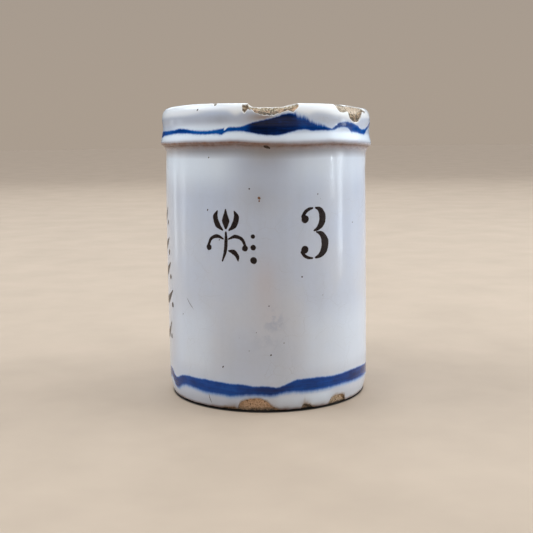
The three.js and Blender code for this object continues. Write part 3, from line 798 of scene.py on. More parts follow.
def stencil_material(name):
    """Manganese brown-black laid through a stencil and sunk in the glaze, browner at its edges."""
    t = Tree(name)
    n = t.noise(0.7, 4.0, 0.6)
    d = t.noise(3.0, 3.0, 0.6)
    col = t.mix(t.linear(0.3, 0.72, n), (0.0055, 0.0035, 0.0045), (0.016, 0.008, 0.008))
    col = t.mix(t.step(0.66, 0.74, d, 0.0, 0.4), col, (0.10, 0.06, 0.055))
    cell = t.voronoi(0.9)
    col = t.mix(t.step(0.03, 0.07, cell, 0.5, 0.0), col, (0.30, 0.25, 0.24))
    rim = t.math("ADD", t.attr("inside"), t.linear(0.3, 0.7, t.noise(1.6, 3.0), -0.05, 0.05))
    col = t.mix(t.step(0.02, 0.17, rim, 0.8, 0.0), col, (0.105, 0.062, 0.06))
    t.link(col, t.bsdf.inputs["Base Color"])
    t.link(t.linear(0.3, 0.7, n, 0.22, 0.36), t.bsdf.inputs["Roughness"])
    t.bsdf.inputs["Specular IOR Level"].default_value = 0.28
    t.link(t.bump(t.math("MULTIPLY", t.noise(0.8, 3.0), 0.00002)), t.bsdf.inputs["Normal"])
    return t.mat


def speck_material(name, a, b):
    t = Tree(name)
    n = t.noise(1.6, 3.0, 0.6)
    t.link(t.mix(t.linear(0.3, 0.7, n), a, b), t.bsdf.inputs["Base Color"])
    t.link(t.linear(0.3, 0.7, n, 0.35, 0.6), t.bsdf.inputs["Roughness"])
    t.link(t.bump(t.math("MULTIPLY", n, 0.00004)), t.bsdf.inputs["Normal"])
    return t.mat


M_OUT = glaze_material("tin_glaze_painted", True)
M_IN = glaze_material("tin_glaze_inside", False, (0.63, 0.62, 0.61), stain=0.75)
M_HANDLE = glaze_material("tin_glaze_handle", False, knocks=True)
M_EDGE = fracture_material("glaze_fracture")
M_EDGE_FOOT = fracture_material("glaze_fracture_stained", (0.46, 0.36, 0.26), (0.26, 0.175, 0.115))
M_CLAY = clay_material("buff_clay")
M_HID = clay_material("buff_clay_covered", False)
M_STENCIL = stencil_material("manganese_stencil")
M_SPECK = speck_material("iron_speck", (0.018, 0.008, 0.005), (0.050, 0.024, 0.014))
M_RUST = speck_material("rust_speck", (0.080, 0.030, 0.012), (0.30, 0.125, 0.045))

# ------------------------------------------------------------------ outer coat

TH = thetas(0.46, 1.05)


def row_step(s):
    z = float(np.interp(s, OUTER.s, OUTER.p[:, 1]))
    if s < S_CREST and z < 17:
        return 0.85
    if s < S_CREST and z < 116.5:
        return 3.3
    return 0.58 if s < S_CREST + 6.5 else 1.1


ROWS = stations((float(OUTER.s[0]), float(S_END)), row_step)
uv, faces = cut_grid(TH, ROWS, glaze_keep)
outer_pts = pot_surface(uv[:, 0], uv[:, 1], 0.0)
# the broken edge slopes: its lower lip stands a little further into the break
low_uv = uv.copy()
rim_idx = sorted({i for e in open_edges(faces) for i in e})
e = 0.05
pu, ps = uv[rim_idx, 0], uv[rim_idx, 1]
gu = (glaze_keep(pu + e / BODY_R, ps) - glaze_keep(pu - e / BODY_R, ps)) / (2 * e)
gs = (glaze_keep(pu, ps + e) - glaze_keep(pu, ps - e)) / (2 * e)
gl = np.maximum(np.hypot(gu, gs), 1e-6)
broken = (glaze_keep(pu, ps) < 0.2) & (ps > OUTER.s[0] + 0.9)
inner_lip = broken & (ps > S_CREST + 0.3)
reach = np.where(ps > s_of_z(100), 0.20, 0.16) * (0.75 + 0.5 * noise(pu * BODY_R / 1.3, ps / 1.3, 0, 97))
reach = np.where(inner_lip, 0.0, reach)
low_uv[rim_idx, 0] -= np.where(broken, reach * gu / gl / BODY_R, 0)
low_uv[rim_idx, 1] -= np.where(broken, reach * gs / gl, 0)
deep = np.full(len(uv), -GLAZE)
deep[rim_idx] -= np.where(inner_lip, 0.45, 0.0)
inner_pts = pot_surface(low_uv[:, 0], low_uv[:, 1], deep)
outer = coat("outer_glaze_coat", uv, faces, outer_pts, inner_pts, [M_OUT, M_EDGE, M_EDGE_FOOT], float(s_of_z(60)))
th2, s2 = np.r_[uv[:, 0], uv[:, 0]], np.r_[uv[:, 1], uv[:, 1]]
_r, z2, _nr, _nz = OUTER.at(s2)
on_outside = (s2 <= S_CREST + 0.5).astype(float)
fields = paint_fields(th2, z2 + sag(th2, z2))
for nm, val in zip(("rim_top", "rim_low", "foot_top", "foot_low", "rim_k", "foot_k", "bristle"), fields):
    if nm in ("rim_top", "foot_top"):
        val = np.where(on_outside > 0, val, -9.0)
    attribute(outer, nm, val)
drawn = smooth(0, 24, np.degrees(wrap(th2)))
# brown where the coat thins over the bead's lower edge, carried a little way into the crease beneath it and in a faint
# band at 117 mm as painted shade under the bead
thin = 0.84 * smooth(120.75 - 0.1 * drawn, 119.75 - 1.1 * drawn, z2) * smooth(117.3, 118.5, z2) + 0.26 * smooth(122.3, 120.4, z2) * smooth(119.2, 120.4, z2)
thin = thin + 0.10 * np.exp(-(((z2 - 117.0) / 1.3) ** 2))
thin = thin + 0.85 * smooth(2.1, 0.6, z2 + 0.35 * noise(outer_pts[:, 0] / 2.5, outer_pts[:, 1] / 2.5, 0, 95)[np.r_[0 : len(uv), 0 : len(uv)]])
attribute(outer, "thin", np.clip(thin * on_outside, 0, 1))


def gap_to(chips):
    f = np.full(len(uv), 6.0)
    for c in chips:
        f = np.minimum(f, c.outside(uv[:, 0], uv[:, 1]))
    return np.r_[f, f]


deg2 = np.degrees(wrap(th2))
whole_lip = np.minimum(gap_to(RIM_CHIPS[1:]), gap_to(RIM_CHIPS[:1]) + 1.3 * (1 - smooth(9.5, 12.0, deg2)))
attribute(outer, "gap", whole_lip)
# painted light: the bead whitened all round, the sides of the wall below the collar, a strip above the rim band on the
# left, and patches near the foot
painted_light = smooth(120.3, 121.3, z2) * (1 - smooth(123.4, 125.4, z2)) * 0.95 * (z2 < 130)
sides = smooth(6, 26, np.abs(deg2 + 2)) * (0.75 - 0.28 * smooth(0, 20, deg2))
painted_light = painted_light + sides * smooth(95.5, 110, z2) * (1 - smooth(113.5, 116.6, z2))
# painted highlight: the lip whiter from the crest down, reaching lower in a few places
down = 1.7 * smooth(24, 44, np.abs(deg2 + 3)) + 1.6 * np.exp(-(((deg2 - 50) / 9.0) ** 2)) + 1.9 * np.exp(-(((deg2 - 20) / 5.0) ** 2)) + 1.9 * np.exp(-(((deg2 + 15.5) / 3.2) ** 2))
attribute(outer, "lip", (0.9 - 0.2 * smooth(-14, -26, deg2)) * smooth(132.3 - down, 134.9 - down, z2))
painted_light = painted_light + 0.8 * smooth(124.4, 125.6, z2) * (1 - smooth(126.2, 129.6, z2)) * smooth(-66, -50, deg2) * (1 - smooth(-18, -7, deg2)) * (z2 < 131)
painted_light = painted_light + (0.50 + 0.22 * smooth(17, 26, deg2)) * smooth(9.5, 6.0, z2) * smooth(1, 7, deg2) * (1 - smooth(32, 40, deg2)) + 0.30 * smooth(14, 22, z2) * (1 - smooth(36, 52, z2)) * smooth(20, 32, np.abs(deg2 + 6)) * smooth(-68, -56, deg2)
attribute(outer, "painted_light", np.clip(painted_light, 0, 1))
# painted shade: under the bead's overhang, and in the collar's waist by angle
shade = 0.60 * smooth(113.9, 116.8, z2) * smooth(119.0, 118.3, z2)
shade = shade + smooth(126.8, 129.4, z2) * (1 - smooth(130.6, 132.8, z2)) * np.interp(deg2, [-180, -90, -66, -52, -35, -24, -17, -12, 12, 18, 23, 29, 38, 50, 70, 90, 180], [0.2, 0.26, 0.27, 0.22, 0.14, 0.27, 0.10, 0.05, 0.10, 0.0, 0.0, 0.12, 0.11, 0.0, 0.08, 0.16, 0.2])
attribute(outer, "shade", np.clip(shade * on_outside, 0, 1))
attribute(outer, "gap_foot", gap_to(FOOT_CHIPS))
brown = 0.78 * blob(th2, z2, -3.4, 131.0, 5.6, 2.0) + 0.5 * blob(th2, z2, 1.0, 130.6, 3.4, 1.2) + 0.25 * blob(th2, z2, 9, 131.8, 3.0, 1.0)
brown = brown + 0.5 * blob(th2, z2, -19.5, 2.2, 3.2, 1.4) + 0.55 * blob(th2, z2, 20.6, 3.2, 2.4, 1.7) + 0.4 * blob(th2, z2, 19.9, 4.6, 0.4, 1.3) + 0.32 * blob(th2, z2, 30.0, 2.2, 6.0, 1.2) + 0.36 * blob(th2, z2, 10.0, 1.7, 6.5, 1.3)
# the brown patch under the bead at the front is painted shade below the collar; the faint one at 95.9 mm is a halo
# round the rust speck
brown = brown + 0.26 * blob(th2, z2, 1.0, 115.5, 7.0, 3.0) + 0.10 * blob(th2, z2, -3.6, 95.9, 2.2, 2.6)
attribute(outer, "brown", np.clip(brown, 0, 1) * on_outside)
attribute(outer, "pink", np.clip(0.8 * blob(th2, z2, -0.5, 59, 5.5, 11) + 0.35 * blob(th2, z2, 2, 44, 7, 8), 0, 1))
attribute(outer, "blue", np.clip(blob(th2, z2, 3.9, 42.0, 4.0, 4.5) + 0.55 * blob(th2, z2, -1.0, 34, 6.0, 6.0), 0, 1))
# painted shade: greyer patches under the bead and down the middle of the front
grey = np.zeros(len(z2))
grey = grey + 0.65 * blob(th2, z2, 0.5, 113.5, 9.5, 7.0) + 0.46 * blob(th2, z2, -3.0, 97.0, 9.0, 7.0) + 0.18 * blob(th2, z2, -8, 26, 16, 9)
attribute(outer, "grey", np.clip(grey, 0, 1))

# ------------------------------------------------------------------ clay of the collar, with the breaks bitten into it


def bitten(th, s, off, chips):
    """Clay surface under the coat, cut back inside each chip. Also gives tone, and a mask of dirt and painted shade,
    for the clay.
    """
    p = pot_surface(th, s, off)
    tone, grime = np.full(th.shape, 0.6), np.full(th.shape, 0.2)
    r, z, nr, nz = OUTER.at(s)
    nx, ny = nr * np.sin(th), -nr * np.cos(th)
    nrm = np.stack([nx, ny, nz], -1)
    for c in chips:
        f = c.outside(th, s)
        m = f < 0.6
        if not m.any():
            continue
        q = np.clip(-f[m], 0, 9)
        lo, hi, _ = c.edges(th[m])
        lo, hi = np.maximum(lo, OUTER.s[0]), np.minimum(hi, S_END)
        here = p[m]
        k = np.clip((s[m] - lo) / np.maximum(hi - lo, 1e-3), 0, 1)
        if c.chord:
            a, b = pot_surface(th[m], lo, off), pot_surface(th[m], hi, off - c.sink)
            flat = a + (b - a) * k[:, None]
            w = (c.chord * smooth(0.0, 0.5, q))[:, None]
            here = here * (1 - w) + flat * w
        x, y, zz = here.T
        grit = 0.30 * noise(x / 1.5, y / 1.5, zz / 1.5, 200 + c.seed) + 0.20 * noise(x / 0.75, y / 0.75, zz / 0.75, 220 + c.seed)
        d = c.depth * smooth(0.0, 1.2, q) + (0.45 * min(1.0, c.depth + 0.35)) * c.grit * grit * smooth(0.0, 0.7, q)
        p[m] = here - nrm[m] * d[:, None]
        tone[m] = c.tone
        if c.cream:
            tone[m] = c.tone - c.cream[2] * smooth(c.cream[0], c.cream[1], k + 0.16 * noise(x / 1.8, y / 1.8, zz / 1.8, 260))
        # darker in a band just inside the edge of each break
        darkening = c.grime + 0.55 * smooth(0.75, 0.15, q) * (0.5 + 0.9 * noise(x / 2.2, y / 2.2, zz / 2.2, 240 + c.seed)) * (1 - (0.9 * smooth(0.45, 0.8, k) if c.cream else 0.0))
        if c.spots:
            dark = smooth(-0.05, 0.45, noise(x / 0.95, y / 0.95, zz / 0.95, 280 + c.seed) + 0.3 * noise(x / 0.5, y / 0.5, zz / 0.5, 300 + c.seed))
            darkening = darkening + c.spots[2] * dark * smooth(c.spots[0], c.spots[1], k)
        # darker towards the bottom of the break, and along the lower right edge of the shield-shaped chip
        if c.low_grime:
            top, bottom, most = c.low_grime
            darkening = darkening + most * smooth(top, bottom, zz)
            darkening = darkening + 0.7 * smooth(1.0, 0.2, q) * smooth(56.0, 60.0, np.degrees(wrap(th[m]))) * smooth(132.6, 131.3, zz)
        grime[m] = np.clip(darkening, 0, 1.3)
    return p, tone, grime


def ring_mesh(name, th, loops_pts, mat, close=True, cap_low=False, cap_high=False):
    """Joins rows of points round the axis into a skin; the rows may close on themselves."""
    n = len(th)
    verts = np.vstack(loops_pts)
    faces = []
    m = len(loops_pts)
    for j in range(m if close else m - 1):
        k = (j + 1) % m
        i = np.arange(n)
        i2 = (i + 1) % n
        faces += [tuple(q) for q in np.stack([j * n + i, j * n + i2, k * n + i2, k * n + i], 1)]
    if cap_low:
        faces.append(tuple(range(n - 1, -1, -1)))
    if cap_high:
        faces.append(tuple((m - 1) * n + i for i in range(n)))
    return new_object(name, verts, faces, [mat])


CLAY_OFF = -(GLAZE + 0.03)
rows_c = ROWS[(ROWS > s_of_z(118.95)) & (ROWS < S_CREST + 8.2)]
loops, tones, grimes = [], [], []
for s in rows_c:
    sv = np.full(TH.shape, float(s))
    p, tn, gr = bitten(TH, sv, CLAY_OFF, RIM_CHIPS)
    loops.append(p)
    tones.append(tn)
    grimes.append(gr)


def plain_ring(r, z, th=TH):
    """A level ring inside the wall; near the collar it follows the collar's hang."""
    k = min(max((r - 42.5) / 4.6, 0.0), 1.0)
    dz = k * sag(th, z) + (1 - k) * sag_inside(th, z)
    return np.stack([r * np.sin(th) + lean(z), -r * np.cos(th), z + dz], -1)


for r, z in ((42.55, 129.6), (42.55, 124.5), (42.55, 119.7), (42.75, 119.2), (44.8, 119.2), (46.7, 119.2)):
    loops.append(plain_ring(r, z))
    tones.append(np.full(TH.shape, 0.6))
    grimes.append(np.full(TH.shape, 0.2))
collar = ring_mesh("collar_clay", TH, loops, M_CLAY)
attribute(collar, "tone", np.concatenate(tones))
attribute(collar, "grime", np.concatenate(grimes))

# ------------------------------------------------------------------ clay of the wall, closed in between the two coats

TW = np.linspace(-PI, PI, 240, endpoint=False)
rows_w = ROWS[(ROWS > s_of_z(8.3)) & (ROWS < s_of_z(118.0))]
loops = [plain_ring(42.75, 8.1, TW), plain_ring(46.9, 8.1, TW)]
loops += [pot_surface(TW, np.full(TW.shape, float(s)), CLAY_OFF) for s in rows_w]
loops += [plain_ring(46.7, 119.1, TW), plain_ring(44.8, 119.1, TW)]
loops += [plain_ring(42.7, z, TW) for z in (119.1, 112.0, 104.0, 96.0, 70.0, 40.0, 16.0)]
wall = ring_mesh("wall_clay", TW, loops, M_HID)

# ------------------------------------------------------------------ clay of the foot and floor, bare underneath


def under(th, r):
    """Height of the bare underside: a level standing ring, and the curved drag lines of a cutting wire inside it."""
    x, y = r * np.sin(th), -r * np.cos(th)
    d = np.hypot(x + 61, y - 38)
    arcs = 0.5 + 0.5 * np.sin(2 * PI * d / 2.6 + 1.2 * noise(x / 9, y / 9, 0, 301))
    lift = 0.10 * arcs + 0.10 * (0.5 + 0.5 * noise(x / 6, y / 6, 0, 302)) + 0.06 * np.abs(noise(x / 1.6, y / 1.6, 0, 303))
    return lift * (0.18 + 0.82 * smooth(44.5, 38, r))


rows_f = ROWS[ROWS < s_of_z(7.6)]
loops, tones, grimes = [], [], []
# towards the outer edge of the underside the clay darkens to near-black: painted contact shade under the foot
for r in (0.6, 3.0, 6.0, 9.5, 13, 16.5, 20, 23, 26, 29, 31.5, 34, 36, 38, 39.5, 41, 42.4, 43.6, 44.5, 45.1):
    z = under(TH, np.full(TH.shape, r))
    loops.append(np.stack([r * np.sin(TH), -r * np.cos(TH), z], -1))
    tones.append(0.72 + 0.12 * noise(loops[-1][:, 0] / 12, loops[-1][:, 1] / 12, 0, 305))
    grimes.append(np.full(TH.shape, 0.16) + 0.40 * smooth(42.6, 44.8, r) + 1.2 * smooth(44.2, 45.0, r))
# the bevel ring between the underside and the coat, painted near-black as contact shade
for r, z in ((45.5, 0.08), (45.7, 0.20)):
    loops.append(plain_ring(r, z))
    tones.append(np.full(TH.shape, 0.9))
    grimes.append(np.full(TH.shape, 2.0))
for s in rows_f:
    p, tn, gr = bitten(TH, np.full(TH.shape, float(s)), CLAY_OFF, FOOT_CHIPS)
    p[:, 2] = np.maximum(p[:, 2], 0.30)
    # near-black close to the ground: painted contact shade under the foot
    gr = np.maximum(gr, smooth(1.3, 0.55, p[:, 2]) + 0.8 * smooth(0.75, 0.42, p[:, 2]))
    loops.append(p)
    tones.append(tn)
    grimes.append(gr)
for r, z in ((47.3, 7.7), (47.2, 7.98), (44.0, 7.98), (30.0, 7.75), (12.0, 7.7), (0.6, 7.7)):
    loops.append(plain_ring(r, z))
    tones.append(np.full(TH.shape, 0.7))
    grimes.append(np.full(TH.shape, 0.2))
base = ring_mesh("base_clay", TH, loops, M_CLAY, close=False, cap_low=True, cap_high=True)
attribute(base, "tone", np.concatenate(tones))
attribute(base, "grime", np.concatenate(grimes))

# ------------------------------------------------------------------ inside coat with throwing rings

INNER = Profile([(42.24, 130.1), (42.08, 128.5), (42.0, 124.0), (42.0, 100.0), (42.0, 60.0), (42.0, 30.0), (41.95, 18.0), (41.3, 13.2), (39.6, 10.4), (36.6, 8.9), (32.0, 8.45), (20.0, 8.3), (8.0, 8.22), (0.5, 8.2)])
TI = np.linspace(-PI, PI, 288, endpoint=False)


def inner_step(s):
    return 1.5


rows_i = stations((0.0, float(INNER.s[-1])), inner_step)


def inside_surface(th, s, off):
    r, z, nr, nz = INNER.at(s)
    x, y = 42 * np.sin(th), -42 * np.cos(th)
    ring = 0.16 * np.sin(2 * PI * (z / 7.2 - th / (2 * PI))) * smooth(14, 30, z) * (1 - smooth(116, 127, z))
    ring = ring + 0.10 * noise(x / 14, y / 14, z / 14, 401)
    spiral = 0.12 * np.sin(2 * PI * (r / 6.0 + th / (2 * PI))) * smooth(36, 30, r) * smooth(2, 7, r) * (z < 9.5)
    d = off + ring * smooth(8.6, 12, z) * (1 - smooth(127, 130, z)) + spiral
    rr, zz = r + d * nr, z + d * nz + sag_inside(th, z)
    return np.stack([rr * np.sin(th) + lean(z), -rr * np.cos(th), zz], -1)


loops = [inside_surface(TI, np.full(TI.shape, s), 0.0) for s in rows_i]
back_rows = rows_i[::4][::-1]
back = [inside_surface(TI, np.full(TI.shape, s), -0.42) for s in back_rows]
n_face = len(loops)


def inner_mesh():
    n = len(TI)
    allrows = loops + back
    verts = np.vstack(allrows)
    faces = []
    i = np.arange(n)
    i2 = (i + 1) % n
    for j in range(len(allrows)):
        k = (j + 1) % len(allrows)
        if j == n_face - 1:
            continue
        faces += [tuple(q) for q in np.stack([j * n + i, j * n + i2, k * n + i2, k * n + i], 1)]
    faces.append(tuple((n_face - 1) * n + q for q in range(n)))
    faces.append(tuple(n_face * n + q for q in range(n - 1, -1, -1)))
    return new_object("inner_glaze_coat", verts, faces, [M_IN])


inside = inner_mesh()
zi = np.array([v.co.z for v in inside.data.vertices]) * 1000
ri = np.array([math.hypot(v.co.x, v.co.y) for v in inside.data.vertices]) * 1000
attribute(inside, "tide", np.clip(0.35 * smooth(40, 9, zi) + 0.35 * np.exp(-(((zi - 96) / 5.0) ** 2)) + 0.25 * smooth(30, 42, ri) * (zi < 14), 0, 1))
attribute(inside, "thin", np.clip(0.25 * smooth(127, 130, zi), 0, 1))

# ------------------------------------------------------------------ handle: strap pulled by hand, wetted on to the wall at both ends

PATH = catmull([(43.5, 102.0), (51.0, 106.0), (62.0, 107.0), (72.0, 100.5), (78.8, 85.5), (77.2, 67.5), (70.0, 50.5), (59.0, 39.5), (51.0, 34.5), (43.5, 30.5)], 26)
_d = np.diff(PATH, axis=0)
PATH_S = np.r_[0, np.cumsum(np.hypot(_d[:, 0], _d[:, 1]))]
PATH_T = np.gradient(PATH, PATH_S, axis=0)
PATH_T /= np.linalg.norm(PATH_T, axis=1)[:, None]
PATH_N = np.stack([PATH_T[:, 1] * -1, PATH_T[:, 0]], 1)
if PATH_N[len(PATH) // 2, 0] < 0:
    PATH_N = -PATH_N
PLEN = PATH_S[-1]


def smin(a, b, k):
    h = np.clip(0.5 + 0.5 * (b - a) / k, 0, 1)
    return b * (1 - h) + a * h - k * h * (1 - h)


def strap_distance(x, y, z):
    """Distance outside the glazed strap, mm. x is across the strap."""
    d = np.full(x.shape, 1e9)
    best = np.zeros(x.shape, np.int32)
    for i in range(len(PATH)):
        q = (y - PATH[i, 0]) ** 2 + (z - PATH[i, 1]) ** 2
        m = q < d
        d[m] = q[m]
        best[m] = i
    py, pz = PATH[best, 0], PATH[best, 1]
    ny, nz = PATH_N[best, 0], PATH_N[best, 1]
    ty, tz = PATH_T[best, 0], PATH_T[best, 1]
    dy, dz = y - py, z - pz
    b = dy * ny + dz * nz  # outward from the hand
    along = dy * ty + dz * tz
    s = PATH_S[best] + along
    u = s / PLEN
    hw = 11.35 + 1.7 * smooth(0.20, 0.04, u) - 1.1 * smooth(0.45, 0.85, u) + 1.6 * smooth(0.86, 0.97, u)
    ht = 4.55 + 0.9 * smooth(0.22, 0.06, u) - 0.35 * smooth(0.4, 0.7, u) + 0.6 * smooth(0.88, 0.98, u)
    hw = hw + 0.18 * noise(x * 0 + s / 13, y * 0 + 0.5, z * 0, 501)
    # ridges left by the pulling fingers on the outer face
    groove = 0.75 * np.exp(-((x / 3.4) ** 2)) + 0.22 * np.exp(-(((np.abs(x) - 7.4) / 1.6) ** 2))
    groove = groove * smooth(0.03, 0.16, u) * (1 - smooth(0.80, 0.94, u))
    b = b + np.where(b > 0, groove, 0.25 * np.exp(-((x / 5.0) ** 2)))
    rr = 3.3
    qx = np.abs(x) - (hw - rr)
    qb = np.abs(b) - (ht - rr)
    out = np.hypot(np.maximum(qx, 0), np.maximum(qb, 0)) + np.minimum(np.maximum(qx, qb), 0) - rr
    ends = np.maximum(-s, s - PLEN)
    out = np.maximum(out, ends)
    out = out + 0.10 * noise(x / 7, y / 7, z / 7, 502) + 0.035 * noise(x / 2.6, y / 2.6, z / 2.6, 503)
    return out, s


def wad_distance(x, y, z, zc, ax, az, ay):
    y, z = y - 47.2, z - zc
    q = np.sqrt((x / ax) ** 2 + (y / ay) ** 2 + (z / az) ** 2)
    g = np.sqrt((x / ax**2) ** 2 + (y / ay**2) ** 2 + (z / az**2) ** 2)
    return q * (q - 1) / np.maximum(g, 1e-3)


def settle(F, h):
    """Leave no square of the grid with two corners inside on one diagonal and two outside on the other."""
    F = F.copy()
    for _ in range(20):
        S = F < 0
        changed = False
        for u, w in ((0, 1), (1, 2), (2, 0)):
            side = []
            for i, j in ((0, 0), (1, 0), (0, 1), (1, 1)):
                sl = [slice(None)] * 3
                sl[u] = slice(i, F.shape[u] - 1 + i)
                sl[w] = slice(j, F.shape[w] - 1 + j)
                side.append(S[tuple(sl)])
            a, b, c, d = side
            for p in np.argwhere((a == d) & (b == c) & (a != b)):
                corners = []
                for i, j in ((0, 0), (1, 0), (0, 1), (1, 1)):
                    q = list(p)
                    q[u] += i
                    q[w] += j
                    corners.append(tuple(q))
                outside = [q for q in corners if F[q] >= 0]
                if len(outside) == 2:
                    F[min(outside, key=lambda q: F[q])] = -0.05 * h
                    changed = True
        if not changed:
            break
    return F


def surface_nets(F, o, h):
    F = settle(F, h)
    nx, ny, nz = F.shape
    S = F < 0
    cor = [(i, j, k) for i in (0, 1) for j in (0, 1) for k in (0, 1)]
    cnt = np.zeros((nx - 1, ny - 1, nz - 1), np.int8)
    for i, j, k in cor:
        cnt += S[i : nx - 1 + i, j : ny - 1 + j, k : nz - 1 + k]
    act = (cnt > 0) & (cnt < 8)
    idx = np.full(act.shape, -1, np.int64)
    ci = np.argwhere(act)
    idx[act] = np.arange(len(ci))
    acc = np.zeros((len(ci), 3))
    num = np.zeros(len(ci))
    for a in cor:
        for ax in range(3):
            if a[ax]:
                continue
            b = list(a)
            b[ax] = 1
            fa = F[ci[:, 0] + a[0], ci[:, 1] + a[1], ci[:, 2] + a[2]]
            fb = F[ci[:, 0] + b[0], ci[:, 1] + b[1], ci[:, 2] + b[2]]
            m = (fa < 0) != (fb < 0)
            t = np.where(m, fa / np.where(fa == fb, 1, fa - fb), 0)
            p = np.tile(np.array(a, float), (len(ci), 1))
            p[:, ax] += t
            acc[m] += p[m]
            num[m] += 1
    verts = np.asarray(o) + h * (ci + acc / num[:, None])
    faces = []
    for ax in range(3):
        u, w = (ax + 1) % 3, (ax + 2) % 3
        sl0 = [slice(None)] * 3
        sl1 = [slice(None)] * 3
        sl0[ax], sl1[ax] = slice(0, -1), slice(1, None)
        e = S[tuple(sl0)] != S[tuple(sl1)]
        pts = np.argwhere(e)
        ok = np.all([pts[:, u] > 0, pts[:, w] > 0, pts[:, u] < F.shape[u] - 1, pts[:, w] < F.shape[w] - 1], axis=0)
        pts = pts[ok]
        flip = S[tuple(pts.T)]
        q = []
        for du, dw in ((1, 1), (0, 1), (0, 0), (1, 0)):
            c = pts.copy()
            c[:, u] -= du
            c[:, w] -= dw
            q.append(idx[tuple(c.T)])
        q = np.stack(q, 1)
        q[~flip] = q[~flip][:, ::-1]
        faces += [tuple(r) for r in q]
    return verts, faces


# small knocks in the handle's glaze: (middle, way out, way along, how far the hollow's centre stands off, radius, half length)
KNOCKS = [
    ((11.2, 70.6, 103.4), (0.80, 0.36, 0.48), (0.0, 0.8, -0.6), 2.6, 2.95, 5.2),
    ((-10.4, 72.4, 53.2), (-0.82, 0.42, -0.40), (0.0, 0.55, 0.83), 2.2, 2.5, 3.4),
]


def knock_distance(x, y, z):
    """Distance outside the nearest knock, mm."""
    d = np.full(x.shape, 9.0)
    rag = 0.34 * noise(x / 2.0, y / 2.0, z / 2.0, 521) + 0.22 * noise(x / 0.9, y / 0.9, z / 0.9, 522)
    for c, n, t, lift, r, half in KNOCKS:
        n, t = (np.asarray(q) / np.linalg.norm(q) for q in (n, t))
        px, py, pz = x - c[0] - n[0] * lift, y - c[1] - n[1] * lift, z - c[2] - n[2] * lift
        along = px * t[0] + py * t[1] + pz * t[2]
        q = np.sqrt(np.maximum(px * px + py * py + pz * pz - along * along, 0) + (along * r / half) ** 2)
        d = np.minimum(d, q - r)
    return d + rag


def handle_fields(x, y, z):
    strap, _s = strap_distance(x, y, z)
    up = wad_distance(x, y, z, 104.0, 14.2, 9.3, 5.2)
    dn = wad_distance(x, y, z, 33.2, 14.4, 11.6, 4.6)
    # thumb press that seals the lower end
    thumb = (np.sqrt((x / 7.0) ** 2 + ((y - 56.5) / 4.4) ** 2 + ((z - 30.5) / 8.0) ** 2) - 1) * 4.4
    r = np.hypot(x - lean(z), y)
    wall = r - wall_radius(np.arctan2(x, -y), z)
    return strap, up, dn, thumb, r, wall


def handle_coat_field(x, y, z):
    """The glazed handle, run out on to the wall in a soft fillet that ends under the wall's own coat."""
    strap, up, dn, thumb, r, wall = handle_fields(x, y, z)
    d = smin(smin(strap, up, 4.0), dn, 5.2)
    d = -smin(-d, thumb, 2.6)
    d = np.maximum(smin(d, wall + 0.34, 7.0), d - 5.6)
    d = np.maximum(d, -knock_distance(x, y, z))
    return np.maximum(d, 46.75 - r)


def on_level(field, v, h, steps=3):
    """Moves points on to the zero of a field."""
    for _ in range(steps):
        d = field(*v.T)
        g = np.stack([(field(*(v + o).T) - field(*(v - o).T)) / 0.2 for o in 0.1 * np.eye(3)], 1)
        k = d / np.maximum((g * g).sum(1), 0.3)
        v = v - np.clip(k, -0.4 * h, 0.4 * h)[:, None] * g
    return v


def solid_from(name, field, lo, hi, h, mat, sharp):
    gx, gy, gz = (np.arange(lo[k], hi[k], h) for k in range(3))
    X, Y, Z = np.meshgrid(gx, gy, gz, indexing="ij")
    F = field(X.ravel(), Y.ravel(), Z.ravel()).reshape(X.shape)
    verts, faces = surface_nets(F, lo, h)
    verts = on_level(field, verts, h)
    return new_object(name, verts, faces, [mat], sharp=sharp), verts


handle, hv = solid_from("handle_glaze_coat", handle_coat_field, (-21.4, 40.6, 12.4), (21.4, 85.2, 121.0), 0.62, M_HANDLE, 75)
edge = smooth(9.2, 11.6, np.abs(hv[:, 0])) * smooth(50, 58, hv[:, 1])
attribute(handle, "thin", np.clip(0.16 * edge * (0.6 + 0.8 * noise(hv[:, 0] / 5, hv[:, 1] / 5, hv[:, 2] / 5, 511)), 0, 1))
attribute(handle, "bare", knock_distance(*hv.T))


def strap_clay_field(x, y, z):
    strap, up, dn, thumb, r, wall = handle_fields(x, y, z)
    d = np.maximum(strap + 0.62, -np.minimum(up, dn) - 0.55)
    d = np.maximum(d, 0.65 - thumb)
    d = np.maximum(d, 0.55 - knock_distance(x, y, z))
    return np.maximum(d, -(wall - 0.15))


def wad_clay_field(which):
    def field(x, y, z):
        strap, up, dn, thumb, r, wall = handle_fields(x, y, z)
        d = np.maximum((up, dn)[which] + 0.62, 0.65 - thumb)
        return np.maximum(d, -(wall + GLAZE + 0.02))

    return field


strap_clay, _v = solid_from("handle_strap_clay", strap_clay_field, (-14.5, 46.0, 26.0), (14.5, 84.5, 113.5), 0.95, M_HID, 50)
upper_wad, _v = solid_from("handle_upper_luting_clay", wad_clay_field(0), (-15.5, 45.2, 93.5), (15.5, 54.0, 114.5), 0.8, M_HID, 50)
lower_wad, _v = solid_from("handle_lower_luting_clay", wad_clay_field(1), (-15.5, 45.2, 20.5), (15.5, 53.5, 46.0), 0.8, M_HID, 50)

# ------------------------------------------------------------------ stencilled marks


def stroke(points, widths, per=8):
    """A brush-cut shape: a smooth line with a half width at each of its points."""
    p = np.column_stack([np.asarray(points, float), np.asarray(widths, float)])
    c = catmull(p[:, :2], per) if len(p) > 2 else np.array([p[0, :2] + (p[-1, :2] - p[0, :2]) * k for k in np.linspace(0, 1, per)])
    key = np.linspace(0, 1, len(p))
    w = np.interp(np.linspace(0, 1, len(c)), key, p[:, 2])
    return c, w


